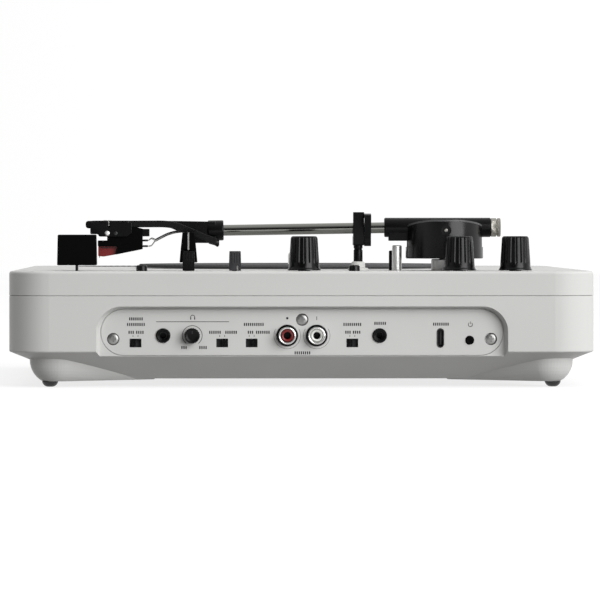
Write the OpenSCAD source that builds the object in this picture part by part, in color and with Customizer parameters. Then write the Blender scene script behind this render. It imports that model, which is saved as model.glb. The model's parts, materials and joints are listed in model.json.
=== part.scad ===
// Portable belt-drive record player with a built-in crossfader, lid taken off.
// Origin: on the surface it stands on, under the centre of the case.
// +X points to the connector side, +Y to the tonearm's pivot end, +Z up.

/* [Case] */
// Width of the case, blank side to connector side
case_w = 373; // [370:1:380]
// Depth of the case, fader end to tonearm pivot end
case_d = 285; // [283:1:290]
// Height of the deck surface
deck_z = 56.4; // [56.2:0.1:56.6]
// Height of the seam between the two shells
seam_z = 44.5; // [44.3:0.1:44.6]
// Plan radius of the case corners
corner_r = 20; // [18:1:24]
// Wall thickness of the shells
wall = 2.5; // [2.3:0.1:2.8]
// Height at which the upright wall ends and the underside begins
wall_low_z = 16.9; // [16.5:0.1:17.5]
// Height of the flat underside
base_z = 3.6; // [3.4:0.1:3.8]
// How far the sloping underside runs in from the wall
slope_run = 32; // [30:1:34]
// Plan radius of a corner lobe under the case
lobe_r = 12.75; // [12.5:0.25:13]
// Height of a lobe's lowest point
lobe_z = 2.7; // [2.5:0.1:2.9]

/* [Connector panel] */
// Depth of the recess in the side wall
recess_depth = 5; // [4.8:0.1:5.2]
// Length of the connector plate
plate_l = 195; // [193:0.5:196]
// Height of the connector plate
plate_h = 22.2; // [22:0.1:22.4]
// Height of the plate's centre line
plate_z = 26.8; // [26.6:0.1:27]
// Distance between the two phono sockets
rca_pitch = 14.3; // [14:0.1:14.6]

/* [Platter] */
// Spindle axis, from the case centre towards the connector side
spindle_x = -20; // [-22:1:-18]
// Radius of the platter
platter_r = 82.5; // [81:0.5:84]
// Top of the slipmat
mat_top_z = 58.2; // [58:0.1:58.4]
// Thickness of the slipmat
mat_t = 1; // [0.9:0.1:1.1]
// Radius of the record spindle
spindle_r = 3.575; // [3.55:0.005:3.6]

/* [Tonearm] */
// Tonearm axis, from the case centre towards the connector side
arm_x = 135; // [134:0.5:136]
// Tonearm pivot, from the case centre towards the pivot end
arm_y = 71.2; // [70.8:0.1:71.6]
// Height of the tilt pivots
tilt_z = 76.2; // [76:0.1:76.4]
// Radius of the pivot drum
drum_r = 19; // [18.5:0.1:19.2]
// Diameter of the arm tube
tube_d = 5.4; // [5.2:0.1:5.5]
// Front end of the arm tube
tube_front_y = -38.2; // [-38.6:0.1:-37.8]
// Middle of the stylus, towards the fader end
stylus_y = -99.2; // [-99.4:0.1:-99]

/* [Deck controls] */
// Row of rotary knobs, from the case centre
knob_x = 166; // [165:0.5:167]
// Height of a rotary knob above the deck
knob_h = 17; // [16.5:0.1:17.5]
// Middle of the crossfader's travel, from the case centre
crossfader_x = 153; // [152:0.5:154]
// Line of the crossfader, towards the fader end
crossfader_y = -109.9; // [-110.3:0.1:-109.8]
// Line of the pitch fader, from the case centre
pitch_x = 157; // [156:0.5:158]
// Middle of the pitch fader's travel
pitch_y = -55.2; // [-55.6:0.1:-54.8]
// Line of the small slide controls and the deck buttons
small_x = 172; // [171.5:0.5:172.5]

/* [Hidden] */
$fn = 64;
hull_fn = 48;
eps = 0.02;
fit = 0.05;   // radial clearance of a running fit
shell_grey = [0.76, 0.76, 0.75];
black = [0.06, 0.06, 0.065];
charcoal = [0.17, 0.17, 0.18];
chrome = [0.80, 0.80, 0.80];
nickel = [0.72, 0.70, 0.64];

half_w = case_w / 2;
half_d = case_d / 2;
seam_gap = 0.16;
seam_round = 0.25;                      // rounding of the two edges that meet at the seam
deck_t = 2.5;
deck_under_z = deck_z - deck_t;
plate_x = half_w - recess_depth;        // outer face of the connector plate
plate_t = 2;
plate_back_x = plate_x - plate_t;
panel_wall = 5;                         // case wall behind the recess, plate included
boss_r = 4.5;
boss_points = [for (x = [-128, -5, 128]) for (y = [-128, 128]) [x, y]];
foot_points = [for (x = [-1, 1]) for (y = [-1, 1]) [x * (half_w - 19), y * 122.6]];
well_r = platter_r + 3;
well_floor_z = 47.2;
well_floor_t = 2.2;
platter_top_z = mat_top_z - mat_t;
ring_r = 55;                            // belt ring under the platter
pulley_r = 5.2;
motor_angle = 125;
motor_reach = 68;
motor_x = spindle_x + motor_reach * cos(motor_angle);
motor_y = motor_reach * sin(motor_angle);
belt_t = 0.8;
belt_gap = 0.1;

// places on the connector plate, [Y, Z]
screw_places = [[-91.6, 23.5], [91.6, 23.5], [0, 32.9]];
red_y = -rca_pitch / 2 - 0.1;
white_y = rca_pitch / 2 - 0.1;
socket_z = 25.2;
headphone_y = -67.4;
level_y = -53.3;
aux_y = 37.6;
usb_place = [67.1, 24.0];
power_place = [81.3, 22.9];
switch_z = 21.6;
switch_ys = [-80.8, -38.8, -24.5, 24.3];
window_w = 5.7;
window_h = 4.2;
slider_w = 2.6;
slider_off = 1.2;                       // the slider stands this far from the window's middle

// tonearm
housing_r = 4.65;
housing_z = 77.65;
housing_front_y = arm_y - 29.5;
housing_back_y = arm_y + 22.8;
drum_low_z = 62.3;
drum_top_z = 81.4;
slot_floor_z = 68;
slot_half = 6;
drum_dip = 2.5;                         // how far the drum's top falls towards its slot
post_pin_r = 2.5;
pivot_r = 1.25;
tube_z_front = 76.2;
tube_z_back = 77.5;
tube_tilt = atan2(tube_z_back - tube_z_front, housing_front_y - tube_front_y);
head_front_y = -103.0;
head_back_y = -81.7;
rest_y = 28.5;
latch_pivot = [arm_x + 6.5, 70.8];
plunger_y = 47.7;
lever_x = 128;
lever_y = 46.7;
lever_pivot_z = 51.5;

// deck controls
knob_ys = [1.25, 77.1, 104.4];
button_ys = [-77.9, 25.6];
slider_ys = [-55.1, -32.5];
crossfader_travel = 20;
pitch_travel = 22;
slider_travel = 7;

// ---------- shared shapes ----------

// Rectangle with true round corners, centred
module rounded_rect(w, d, r) {
    square([w - 2 * r, d], center = true);
    square([w, d - 2 * r], center = true);
    for (x = [-1, 1]) for (y = [-1, 1])
        translate([x * (w / 2 - r), y * (d / 2 - r)]) circle(r);
}

// Slot shape with round ends, along x
module stadium(l, h) {
    square([l - h, h], center = true);
    for (x = [-1, 1]) translate([x * (l - h) / 2, 0]) circle(h / 2);
}

// Half section from x = 0 to x = reach, with a round lower and a round upper outer edge
module edge_section(reach, h, low_r, high_r) {
    translate([0, low_r]) square([reach, h - low_r - high_r]);
    square([reach - low_r, h / 2]);
    translate([0, h / 2]) square([reach - high_r, h / 2]);
    translate([reach - low_r, low_r]) circle(low_r);
    translate([reach - high_r, h - high_r]) circle(high_r);
}

// Slab with round plan corners and round lower and upper edges, from z = 0 to h
module soft_slab(w, d, r, h, low_r, high_r) {
    for (x = [-1, 1]) for (y = [-1, 1])
        translate([x * (w / 2 - r), y * (d / 2 - r), 0])
            rotate_extrude() edge_section(r, h, low_r, high_r);
    rotate([90, 0, 0]) linear_extrude(d - 2 * r, center = true)
        for (m = [0, 1]) mirror([m, 0]) edge_section(w / 2, h, low_r, high_r);
    rotate([90, 0, 90]) linear_extrude(w - 2 * r, center = true)
        for (m = [0, 1]) mirror([m, 0]) edge_section(d / 2, h, low_r, high_r);
}

// Puts a shape on the side panel: local z runs out along +X, local x runs down
module on_panel(x, y, z) {
    translate([x, y, z]) rotate([0, 90, 0]) children();
}

// Puts a shape on a line along +Y: local z runs along +Y, local y runs down
module along_y(x, y, z) {
    translate([x, y, z]) rotate([-90, 0, 0]) children();
}

// Cross-head screw: head from z = 0 to head_h, shank below, drive cross in the top
module cross_screw(head_r, head_h, shank_r, shank_l) {
    difference() {
        union() {
            cylinder(r1 = shank_r, r2 = head_r, h = head_h - 0.3);
            translate([0, 0, head_h - 0.3]) cylinder(r = head_r, h = 0.3);
            translate([0, 0, -shank_l]) cylinder(r = shank_r, h = shank_l + eps);
        }
        for (a = [0, 90]) rotate([0, 0, a])
            translate([-head_r * 0.55, -0.35, head_h - 0.8]) cube([head_r * 1.1, 0.7, 1]);
    }
}

// Round tube swept along points, as one closed skin
function unit(v) = v / norm(v);
function leg(points, i) = unit(points[min(i + 1, len(points) - 1)] - points[max(i - 1, 0)]);
function ring_point(c, t, r, a) =
    let (side = unit(cross(t, [0, 0.2, 1])), up = cross(side, t))
    c + r * (cos(a) * side + sin(a) * up);
module swept_tube(points, r, sides) {
    n = len(points);
    rings = [for (i = [0:n - 1]) for (k = [0:sides - 1])
        ring_point(points[i], leg(points, i), r, 360 * k / sides)];
    skin = [for (i = [0:n - 2]) for (k = [0:sides - 1])
        let (a = i * sides + k, b = i * sides + (k + 1) % sides)
        [a, b, b + sides, a + sides]];
    ends = [[for (k = [sides - 1:-1:0]) k], [for (k = [0:sides - 1]) (n - 1) * sides + k]];
    polyhedron(points = rings, faces = concat(skin, ends), convexity = 4);
}

// Smooth curve through four control points
function bezier(a, b, c, d, t) =
    a * pow(1 - t, 3) + b * 3 * t * pow(1 - t, 2) + c * 3 * t * t * (1 - t) + d * pow(t, 3);

// ---------- case ----------

// One pebble-shaped lobe under a corner: a ball cut off flat, and the two ends it runs out to
lobe_x = half_w - 21.1;
lobe_y = half_d - 22.7;
lobe_wide_z = 12.9;                     // height at which the ball is widest
lobe_rise = 12;                         // half height of the whole ball
spur_r = 6;
spur_points = [[half_w - 39.1, half_d - 68], [half_w - 68, half_d - 39.1]];
module corner_lobe() {
    lobe_turn = asin((lobe_wide_z - lobe_z) / lobe_rise);
    steps = 7;
    hull() {
        for (i = [0:steps]) {
            a = lobe_turn * i / steps;
            translate([lobe_x, lobe_y, lobe_wide_z - lobe_rise * sin(a)])
                cylinder(r = lobe_r * cos(a), h = 0.1, $fn = hull_fn);
            for (p = spur_points) translate([p[0], p[1], lobe_wide_z - 0.97 * lobe_rise * sin(a)])
                cylinder(r = spur_r - 0.6 * lobe_r * (1 - cos(a)), h = 0.1, $fn = hull_fn);
        }
        translate([lobe_x, lobe_y, 19.9]) cylinder(r = lobe_r, h = 0.1, $fn = hull_fn);
        for (p = spur_points) translate([p[0], p[1], 19.9]) cylinder(r = spur_r, h = 0.1, $fn = hull_fn);
    }
}

module every_corner() {
    for (x = [0, 1]) for (y = [0, 1]) mirror([x, 0, 0]) mirror([0, y, 0]) children();
}

// Sloping underside between the walls and the flat base, drawn inset by t
module sloping_base(t) {
    hull() {
        translate([0, 0, wall_low_z + t * 1.1])
            linear_extrude(1)
                rounded_rect(case_w - 2 - 2 * t, case_d - 2 - 2 * t, corner_r - 1 - t, $fn = hull_fn);
        translate([0, 0, base_z + t])
            linear_extrude(0.1)
                rounded_rect(case_w - 2 * slope_run, case_d - 2 * slope_run, 10, $fn = hull_fn);
    }
}

// Outline of the side recess, local x down, open at the lower edge
module recess_outline(half, top, r) {
    translate([-top, -half + r]) square([60, 2 * (half - r)]);
    translate([-top + r, -half]) square([60, 2 * half]);
    for (y = [-1, 1]) translate([-top + r, y * (half - r)]) circle(r, $fn = hull_fn);
}

module side_recess() {
    hull() {
        on_panel(plate_x, 0, 0) linear_extrude(0.01) recess_outline(98.1, 38.3, 11.5);
        on_panel(half_w, 0, 0) linear_extrude(0.01) recess_outline(99.7, 39.3, 12.6);
        on_panel(half_w + 3, 0, 0) linear_extrude(0.01) recess_outline(100.7, 40, 13);
    }
}

module case_cavity() {
    translate([0, 0, wall_low_z + wall])
        linear_extrude(seam_z) rounded_rect(case_w - 2 * wall, case_d - 2 * wall, corner_r - wall);
    sloping_base(wall);
    every_corner() translate([lobe_x, lobe_y, 7.5]) cylinder(r = lobe_r - wall - 2, h = 12);
}

module bottom_case() {
    color(shell_grey) difference() {
        union() {
            translate([0, 0, wall_low_z])
                soft_slab(case_w, case_d, corner_r, seam_z - seam_gap / 2 - wall_low_z, 1, seam_round);
            sloping_base(0);
            every_corner() corner_lobe();
        }
        difference() {
            case_cavity();
            translate([plate_back_x - panel_wall + plate_t, -103, 0]) cube([20, 206, 41.3]);
            for (p = boss_points) translate([p[0], p[1], 0])
                cylinder(r = boss_r, h = seam_z - 0.5);
        }
        side_recess();
        on_panel(plate_back_x, 0, plate_z) linear_extrude(20) stadium_v(plate_h + 0.5, plate_l + 0.5);
        translate([plate_back_x - 10, -87, plate_z - 8.2]) cube([12, 174, 16.4]);
        for (s = screw_places) on_panel(plate_back_x - 10, s[0], s[1]) cylinder(r = 1.3, h = 12);
        for (p = boss_points) translate([p[0], p[1], -1]) {
            cylinder(r = 3.5, h = 25);
            cylinder(r = 1.7, h = 60);
        }
        for (p = foot_points) translate([p[0], p[1], 0]) cylinder(r = 2.05, h = 6.4);
    }
}

// Stadium standing across the panel: h down, l along Y
module stadium_v(h, l) {
    rotate([0, 0, 90]) stadium(l, h);
}

module well_ring() {
    translate([spindle_x, 0, well_floor_z - well_floor_t]) difference() {
        cylinder(r = well_r + 2.2, h = 20, $fn = 128);
        translate([0, 0, well_floor_t]) cylinder(r = well_r, h = 20, $fn = 128);
    }
}

module top_case() {
    low_z = seam_z + seam_gap / 2;
    lip_w = case_w - 2 * wall - 0.4;
    lip_d = case_d - 2 * wall - 0.4;
    color(shell_grey) difference() {
        union() {
            translate([0, 0, low_z]) soft_slab(case_w, case_d, corner_r, deck_z - low_z, seam_round, 1.4);
            translate([0, 0, 41.6]) linear_extrude(5) rounded_rect(lip_w, lip_d, corner_r - wall - 0.2);
        }
        difference() {
            translate([0, 0, 40]) linear_extrude(deck_under_z - 40)
                rounded_rect(lip_w - 3.2, lip_d - 3.2, corner_r - wall - 1.8);
            well_ring();
            for (p = boss_points) translate([p[0], p[1], seam_z]) cylinder(r = 4, h = 20);
        }
        translate([spindle_x, 0, well_floor_z]) cylinder(r = well_r, h = 20, $fn = 128);
        translate([spindle_x, 0, 40]) cylinder(r = 7.1, h = 20);
        translate([motor_x, motor_y, 40]) cylinder(r = 8, h = 20);
        for (p = boss_points) translate([p[0], p[1], 40]) cylinder(r = 1.5, h = 13);
        for (y = knob_ys) translate([knob_x, y, 50]) cylinder(r = 3.4, h = 10);
        for (y = button_ys) translate([small_x, y, 50]) cylinder(r = 2.8, h = 10);
        for (y = slider_ys) translate([small_x - 1.1, y - slider_travel - 2, 50])
            cube([2.2, 2 * slider_travel + 4, 10]);
        translate([pitch_x - 1.2, pitch_y - pitch_travel - 2.5, 50])
            cube([2.4, 2 * pitch_travel + 5, 10]);
        translate([crossfader_x, crossfader_y, deck_z - 0.8])
            linear_extrude(5) rounded_rect(62, 44, 3);
        translate([crossfader_x - 26, crossfader_y - 3, 50]) cube([52, 6, 10]);
        translate([arm_x, arm_y, 50]) cylinder(r = 5, h = 10);
        translate([arm_x + 1.5, rest_y, 50]) cylinder(r = 2.6, h = 10);
        translate([arm_x, plunger_y, 50]) cylinder(r = 2.48, h = 10);
        translate([lever_x - 6.4, lever_y - 3.2, 50]) cube([9.6, 6.4, 10]);
        translate([-135, -92, deck_z - 1.8]) cylinder(r = 25.1, h = 10);
        translate([-135, -92, 50]) cylinder(r = 22, h = 10);
    }
}

module case_screws() {
    color(chrome) for (p = boss_points) translate([p[0], p[1], 24]) {
        translate([0, 0, -2.2]) difference() {
            cylinder(r = 3, h = 2.2);
            for (a = [0, 90]) rotate([0, 0, a]) translate([-1.7, -0.35, -0.2]) cube([3.4, 0.7, 1.2]);
        }
        cylinder(r = 1.45, h = 27);
    }
}

module rubber_feet() {
    color(black) for (p = foot_points) translate([p[0], p[1], 0]) {
        rotate_extrude() intersection() {
            translate([0, 4.1]) circle(4.3);
            square([4, lobe_z]);
        }
        cylinder(r = 2, h = 6);
    }
}

// ---------- connector panel ----------

module connector_plate() {
    hole = 40;
    color(shell_grey) difference() {
        on_panel(plate_back_x, 0, plate_z) linear_extrude(plate_t) stadium_v(plate_h, plate_l);
        for (s = screw_places) on_panel(plate_back_x - 1, s[0], s[1]) {
            cylinder(r = 1.6, h = hole);
            translate([0, 0, plate_t - 0.3]) cylinder(r1 = 1.6, r2 = 3, h = 1);
            translate([0, 0, plate_t + 0.7 - eps]) cylinder(r = 3, h = 1);
        }
        for (y = switch_ys) translate([plate_back_x - 1, y - window_w / 2, switch_z - window_h / 2])
            cube([hole, window_w, window_h]);
        for (y = [headphone_y, aux_y]) on_panel(plate_back_x - 1, y, socket_z) cylinder(r = 3.1, h = hole);
        on_panel(plate_back_x - 1, level_y, socket_z) cylinder(r = 3.3, h = hole);
        for (y = [red_y, white_y]) on_panel(plate_back_x - 1, y, socket_z) cylinder(r = 5.3, h = hole);
        on_panel(plate_back_x - 1, usb_place[0], usb_place[1]) linear_extrude(hole) stadium(9.5, 3.6);
        on_panel(plate_back_x - 1, power_place[0], power_place[1]) cylinder(r = 2.2, h = hole);
    }
}

module plate_screws() {
    color(chrome) for (s = screw_places) on_panel(plate_x - 1.25, s[0], s[1])
        cross_screw(2.9, 1.3, 1.25, 6);
}

module rca_housing() {
    color(black) difference() {
        union() {
            translate([167, red_y - 6.5, 18.9]) cube([11.4, rca_pitch + 13, 12.6]);
            for (y = [red_y, white_y]) on_panel(178, y, socket_z) cylinder(r = 5.2, h = 182.5 - 178);
        }
        for (y = [red_y, white_y]) on_panel(174, y, socket_z) cylinder(r = 3.95, h = 12);
    }
}

module rca_shells() {
    color(chrome) for (y = [red_y, white_y]) difference() {
        union() {
            on_panel(174, y, socket_z) cylinder(r = 3.9, h = 9);
            on_panel(182.5, y, socket_z) cylinder(r = 4.25, h = 4);
        }
        on_panel(173, y, socket_z) cylinder(r = 3.45, h = 20);
    }
}

module rca_insulator(y) {
    on_panel(174, y, socket_z) difference() {
        union() {
            cylinder(r = 3.4, h = 9.6);
            translate([0, 0, 9.6]) cylinder(r = 2.9, h = 1.8);
        }
        translate([0, 0, 2]) cylinder(r = 1.7, h = 12);
    }
}

module rca_insulator_red() { color([0.55, 0.10, 0.11]) rca_insulator(red_y); }
module rca_insulator_white() { color([0.88, 0.88, 0.86]) rca_insulator(white_y); }

// 3.5 mm jack socket: body behind the plate, sleeve through it and a raised ring
module jack_socket(y) {
    color(black) difference() {
        union() {
            translate([166.8, y - 5, socket_z - 5]) cube([12.4, 10, 9]);
            on_panel(179, y, socket_z) cylinder(r = 3, h = 2.6);
            on_panel(plate_x + eps, y, socket_z) cylinder(r = 3.55, h = 0.8);
        }
        on_panel(168, y, socket_z) cylinder(r = 1.8, h = 20);
    }
}

module headphone_jack() { jack_socket(headphone_y); }
module aux_jack() { jack_socket(aux_y); }

module usb_socket() {
    color(chrome) on_panel(172, usb_place[0], usb_place[1]) {
        difference() {
            linear_extrude(9.9) stadium(9.1, 3.3);
            translate([0, 0, 2]) linear_extrude(20) stadium(8.4, 2.6);
        }
        translate([-3.1, -0.35, 1.9]) cube([6.2, 0.7, 7]);
    }
}

// Ribbed level knob for the headphones, with its short shaft
module headphone_knob() {
    color(black) on_panel(178, level_y, socket_z) {
        difference() {
            translate([0, 0, 3.8]) cylinder(r = 3.65, h = 4.6);
            for (k = [0:19]) rotate([0, 0, 18 * k]) translate([3.75, 0, 3]) cylinder(r = 0.28, h = 6, $fn = 16);
            translate([-0.3, 0, 7.9]) cube([0.6, 4, 2]);
        }
        translate([0, 0, -3]) cylinder(r = 2.5, h = 6.9);
    }
}

module switch_bodies() {
    color(charcoal) {
        for (y = switch_ys) translate([168, y - 5.5, switch_z - 3]) cube([10.6, 11, 6]);
        difference() {
            translate([166.8, level_y - 5, socket_z - 5]) cube([10.6, 10, 9.5]);
            on_panel(173, level_y, socket_z) cylinder(r = 2.5 + fit, h = 10);
        }
        translate([167, power_place[0] - 3, power_place[1] - 3]) cube([6.5, 6, 6]);
    }
}

// Slide switch actuator; side is -1 or 1 for the end of the window it stands at
module slide_actuator(y, side) {
    color(black) translate([178.9, y + side * slider_off - slider_w / 2, switch_z - 1.7]) difference() {
        cube([3.0, slider_w, 3.4]);
        for (k = [0:2]) translate([2.7, 0.45 + 0.65 * k, -1]) cube([1, 0.3, 6]);
    }
}

module fader_reverse_slider() { slide_actuator(switch_ys[0], -1); }
module monitor_slider() { slide_actuator(switch_ys[1], 1); }
module cartridge_slider() { slide_actuator(switch_ys[2], 1); }
module speaker_slider() { slide_actuator(switch_ys[3], -1); }

module power_button() {
    color(black) on_panel(175, power_place[0], power_place[1]) {
        cylinder(r = 2.05, h = 6.9);
        translate([0, 0, 6.9]) cylinder(r1 = 2.05, r2 = 1.6, h = 0.4);
        cylinder(r = 2.7, h = 1.2);
    }
}

// ---------- inside ----------

module jack_board() {
    color([0.10, 0.32, 0.18]) translate([164.6, -95, 14.5]) cube([1.6, 190, 21]);
}

module main_board() {
    color([0.10, 0.32, 0.18]) translate([50, -118, 22]) cube([100, 75, 1.6]);
    color(charcoal) for (p = [[70, -100, 16, 16], [100, -80, 20, 12], [125, -105, 12, 20], [75, -62, 30, 8]])
        translate([p[0] - p[2] / 2, p[1] - p[3] / 2, 23.5]) cube([p[2], p[3], 2.6]);
}

module battery_pack() {
    color([0.15, 0.25, 0.45]) for (k = [0:2])
        translate([35, 60 + 19.2 * k, 15.5]) rotate([0, 90, 0]) cylinder(r = 9.2, h = 65);
    color([0.15, 0.25, 0.45]) translate([40, 60, 11.5]) cube([55, 38.4, 8]);
}

module speaker_driver() {
    color(charcoal) translate([-135, -92, 0]) rotate_extrude() difference() {
        polygon([[0, 32], [13, 32], [13, 40], [23, 49.5], [24.5, 49.5], [24.5, 53.6], [0, 53.6]]);
        polygon([[7, 43], [20.5, 52], [20.5, 55], [0, 55], [0, 46]]);
    }
}

module speaker_grille() {
    color(charcoal) translate([-135, -92, deck_z - 1.7]) difference() {
        cylinder(r = 25, h = 1.9);
        intersection() {
            translate([0, 0, -1]) cylinder(r = 21.5, h = 5);
            for (k = [-6:6]) translate([-30, 3.3 * k - 0.8, -1]) cube([60, 1.6, 5]);
        }
    }
}

// ---------- drive ----------

module motor() {
    color(nickel) translate([motor_x, motor_y, 0]) difference() {
        union() {
            translate([0, 0, 24]) cylinder(r = 16, h = 20.5);
            translate([0, 0, 44.4]) cylinder(r = 5, h = 3);
        }
        translate([0, 0, 30]) cylinder(r = 1 + fit, h = 30);
    }
}

module motor_pulley() {
    color(nickel) translate([motor_x, motor_y, 0]) {
        translate([0, 0, 32]) cylinder(r = 1, h = 20);
        rotate_extrude() {
            square_from(0, 49.4, 5.9, 50.2);
            square_from(0, 50, pulley_r, 53.8);
            square_from(0, 53.6, 5.9, 54.3);
        }
    }
}

module square_from(x0, y0, x1, y1) {
    translate([x0, y0]) square([x1 - x0, y1 - y0]);
}

// Flat belt round the ring under the platter and the pulley
module drive_belt() {
    color(black) translate([0, 0, 50.5]) linear_extrude(2.8) difference() {
        belt_loop(belt_gap + belt_t);
        belt_loop(belt_gap);
    }
}

module belt_loop(grow) {
    hull() {
        translate([spindle_x, 0]) circle(ring_r + grow, $fn = 96);
        translate([motor_x, motor_y]) circle(pulley_r + grow, $fn = 48);
    }
}

module platter() {
    color([0.62, 0.62, 0.61]) translate([spindle_x, 0, 0]) rotate_extrude($fn = 128) {
        square_from(4.1, 54.9, platter_r - 1, platter_top_z);
        square_from(platter_r - 2.5, 50.2, platter_r, platter_top_z - 1);
        translate([platter_r - 1, platter_top_z - 1]) circle(1, $fn = 32);
        square_from(ring_r - 2, 50.2, ring_r, 55);
        square_from(4.1, 49.5, 10, 55);
    }
}

module slipmat() {
    color(charcoal) translate([spindle_x, 0, platter_top_z]) difference() {
        cylinder(r = platter_r - 0.9, h = mat_top_z - platter_top_z, $fn = 128);
        translate([0, 0, -1]) cylinder(r = 4.1, h = 5);
    }
}

module spindle() {
    color(chrome) translate([spindle_x, 0, 0]) rotate_extrude() {
        square_from(0, 33, 3, 48);
        square_from(0, 48, 4.05, mat_top_z);
        square_from(0, mat_top_z, spindle_r, mat_top_z + 5.4);
        square_from(0, mat_top_z + 5, spindle_r - 1.6, mat_top_z + 7);
        intersection() {
            translate([spindle_r - 1.6, mat_top_z + 5.4]) circle(1.6);
            square_from(0, mat_top_z + 5.4, 10, mat_top_z + 10);
        }
    }
}

module bearing_housing() {
    color(nickel) translate([spindle_x, 0, 0]) rotate_extrude() {
        square_from(3 + fit, 31, 7, 47);
        square_from(0, 28, 7, 31.5);
        square_from(3 + fit, well_floor_z, 13, well_floor_z + 0.6);
        square_from(3 + fit, 46.5, 7, well_floor_z + 0.3);
    }
}

// ---------- tonearm ----------

module arm_post() {
    color(chrome) translate([arm_x, arm_y, 0]) {
        translate([0, 0, 50]) cylinder(r = 4.9, h = 8);
        translate([0, 0, deck_z]) cylinder(r = 6.5, h = drum_low_z - deck_z - 0.3);
        translate([0, 0, 60]) cylinder(r = post_pin_r, h = 7);
    }
}

module arm_drum() {
    color(black) difference() {
        translate([arm_x, arm_y, drum_low_z])
            rotate_extrude($fn = 96) edge_section(drum_r, drum_top_z - drum_low_z, 0.4, 1.6);
        translate([arm_x - slot_half, arm_y - 30, slot_floor_z]) cube([2 * slot_half, 60, 30]);
        translate([arm_x, arm_y, 50]) cylinder(r = post_pin_r + fit, h = 30);
        translate([arm_x - 30, arm_y, tilt_z]) rotate([0, 90, 0]) cylinder(r = pivot_r + fit, h = 60);
        for (m = [0, 1]) translate([arm_x, arm_y, tilt_z]) mirror([m, 0, 0])
            translate([drum_r - 1.6, 0, 0]) rotate([0, 90, 0]) cylinder(r = 2.5, h = 10);
        for (m = [0, 1]) translate([arm_x, arm_y, 0]) mirror([m, 0, 0])
            rotate([90, 0, 0]) linear_extrude(60, center = true)
                polygon([[slot_half, drum_top_z - drum_dip], [drum_r - 1.2, drum_top_z],
                    [drum_r, drum_top_z + 5], [slot_half - 1, drum_top_z + 5],
                    [slot_half - 1, drum_top_z - drum_dip]]);
    }
}

module pivot_screws() {
    color(nickel) for (m = [0, 1]) translate([arm_x, arm_y, tilt_z]) mirror([m, 0, 0])
        translate([2.6, 0, 0]) rotate([0, 90, 0]) difference() {
            cylinder(r = pivot_r, h = 15.6);
            translate([-2, -0.25, 15]) cube([4, 0.5, 2]);
        }
}

module arm_housing() {
    color(black) difference() {
        union() {
            along_y(arm_x, housing_front_y, housing_z)
                cylinder(r = housing_r, h = housing_back_y - housing_front_y);
            translate([arm_x - 4, housing_front_y + 2.1, 71.3]) cube([8, 16.5, 6]);
        }
        translate([arm_x - 10, arm_y, tilt_z]) rotate([0, 90, 0]) cylinder(r = pivot_r + fit, h = 20);
        tube_bore(tube_d / 2 + 0.03, 12);
        along_y(arm_x, housing_back_y - 8, housing_z) cylinder(r = 2.03, h = 20);
    }
}

// Places local z along the tube's axis, from its front end backwards
module on_tube() {
    translate([arm_x, tube_front_y, tube_z_front]) rotate([tube_tilt, 0, 0]) rotate([-90, 0, 0]) children();
}

tube_l = norm([housing_front_y - tube_front_y, tube_z_back - tube_z_front]);

module tube_bore(r, depth) {
    on_tube() translate([0, 0, tube_l - 5]) cylinder(r = r, h = depth + 5);
}

module arm_tube() {
    color(chrome) on_tube() translate([0, 0, -9]) difference() {
        cylinder(r = tube_d / 2, h = tube_l + 20);
        translate([0, 0, -1]) cylinder(r = tube_d / 2 - 0.6, h = tube_l + 30);
    }
}

// Curved strap along the wand's outer side, from the head down to the collar's lower lug
strap_t = 2.7;
function strap_mid(t) = bezier([-84, 79.7], [-68, 81.2], [-62, 77.5], [-41.5, 70.6], t);
module strap() {
    steps = 18;
    upper = [for (i = [0:steps]) strap_mid(i / steps) + [0, strap_t / 2]];
    lower = [for (i = [steps:-1:0]) strap_mid(i / steps) - [0, strap_t / 2]];
    translate([arm_x + 4.1, 0, 0]) rotate([90, 0, 90]) linear_extrude(1.6) polygon(concat(upper, lower));
}

module arm_wand() {
    color(black) {
        difference() {
            union() {
                on_tube() translate([0, 0, -8]) cylinder(r = 4.6, h = 8);
                translate([arm_x - 4.2, 0, 0]) rotate([90, 0, 90]) linear_extrude(8.4)
                    polygon([[-41.5, 80.6], [-62, 80.9], [head_back_y, 81], [head_back_y, 78.2], [-66, 78],
                        [-57, 74.5], [-57, 70.0], [-43.5, 69.9], [-41.5, 72]]);
            }
            on_tube() translate([0, 0, -9.2]) cylinder(r = tube_d / 2 + 0.03, h = 20);
        }
        strap();
    }
}

module headshell() {
    color(black) difference() {
        union() {
            translate([arm_x, 0, 77.9]) linear_extrude(3.1) {
                translate([-8.5, head_front_y + 5]) square([17, head_back_y - 2.4 - head_front_y - 5]);
                translate([-3.5, head_front_y]) square([7, 8]);
                for (x = [-1, 1]) translate([x * 3.5, head_front_y + 5]) circle(5);
            }
            translate([arm_x - 3.4, head_back_y - 3, 77.9]) cube([6.8, 3, 3.1]);
            for (x = [-1, 1]) translate([arm_x + x * 7.9 - 0.6, head_front_y + 6, 73.6])
                cube([1.2, head_back_y - 2.4 - head_front_y - 6, 5]);
            translate([arm_x + 3, head_front_y - 3.2, 77.4]) cube([3.4, 6.6, 1.9]);
            translate([arm_x + 4.7, head_front_y - 3.2, 77.4]) cylinder(r = 1.7, h = 3.2);
        }
        for (x = [-1, 1]) translate([arm_x + x * 4.6, stylus_y + 4, 70]) cylinder(r = 1.3, h = 20);
    }
}

module headshell_screws() {
    color(chrome) for (x = [-1, 1]) translate([arm_x + x * 4.6, stylus_y + 4, 81.05]) difference() {
        union() {
            cylinder(r = 2.1, h = 1.2);
            translate([0, 0, -6.2]) cylinder(r = 1.2, h = 6.3);
        }
        translate([-3, -0.3, 0.6]) cube([6, 0.6, 2]);
    }
}

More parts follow.
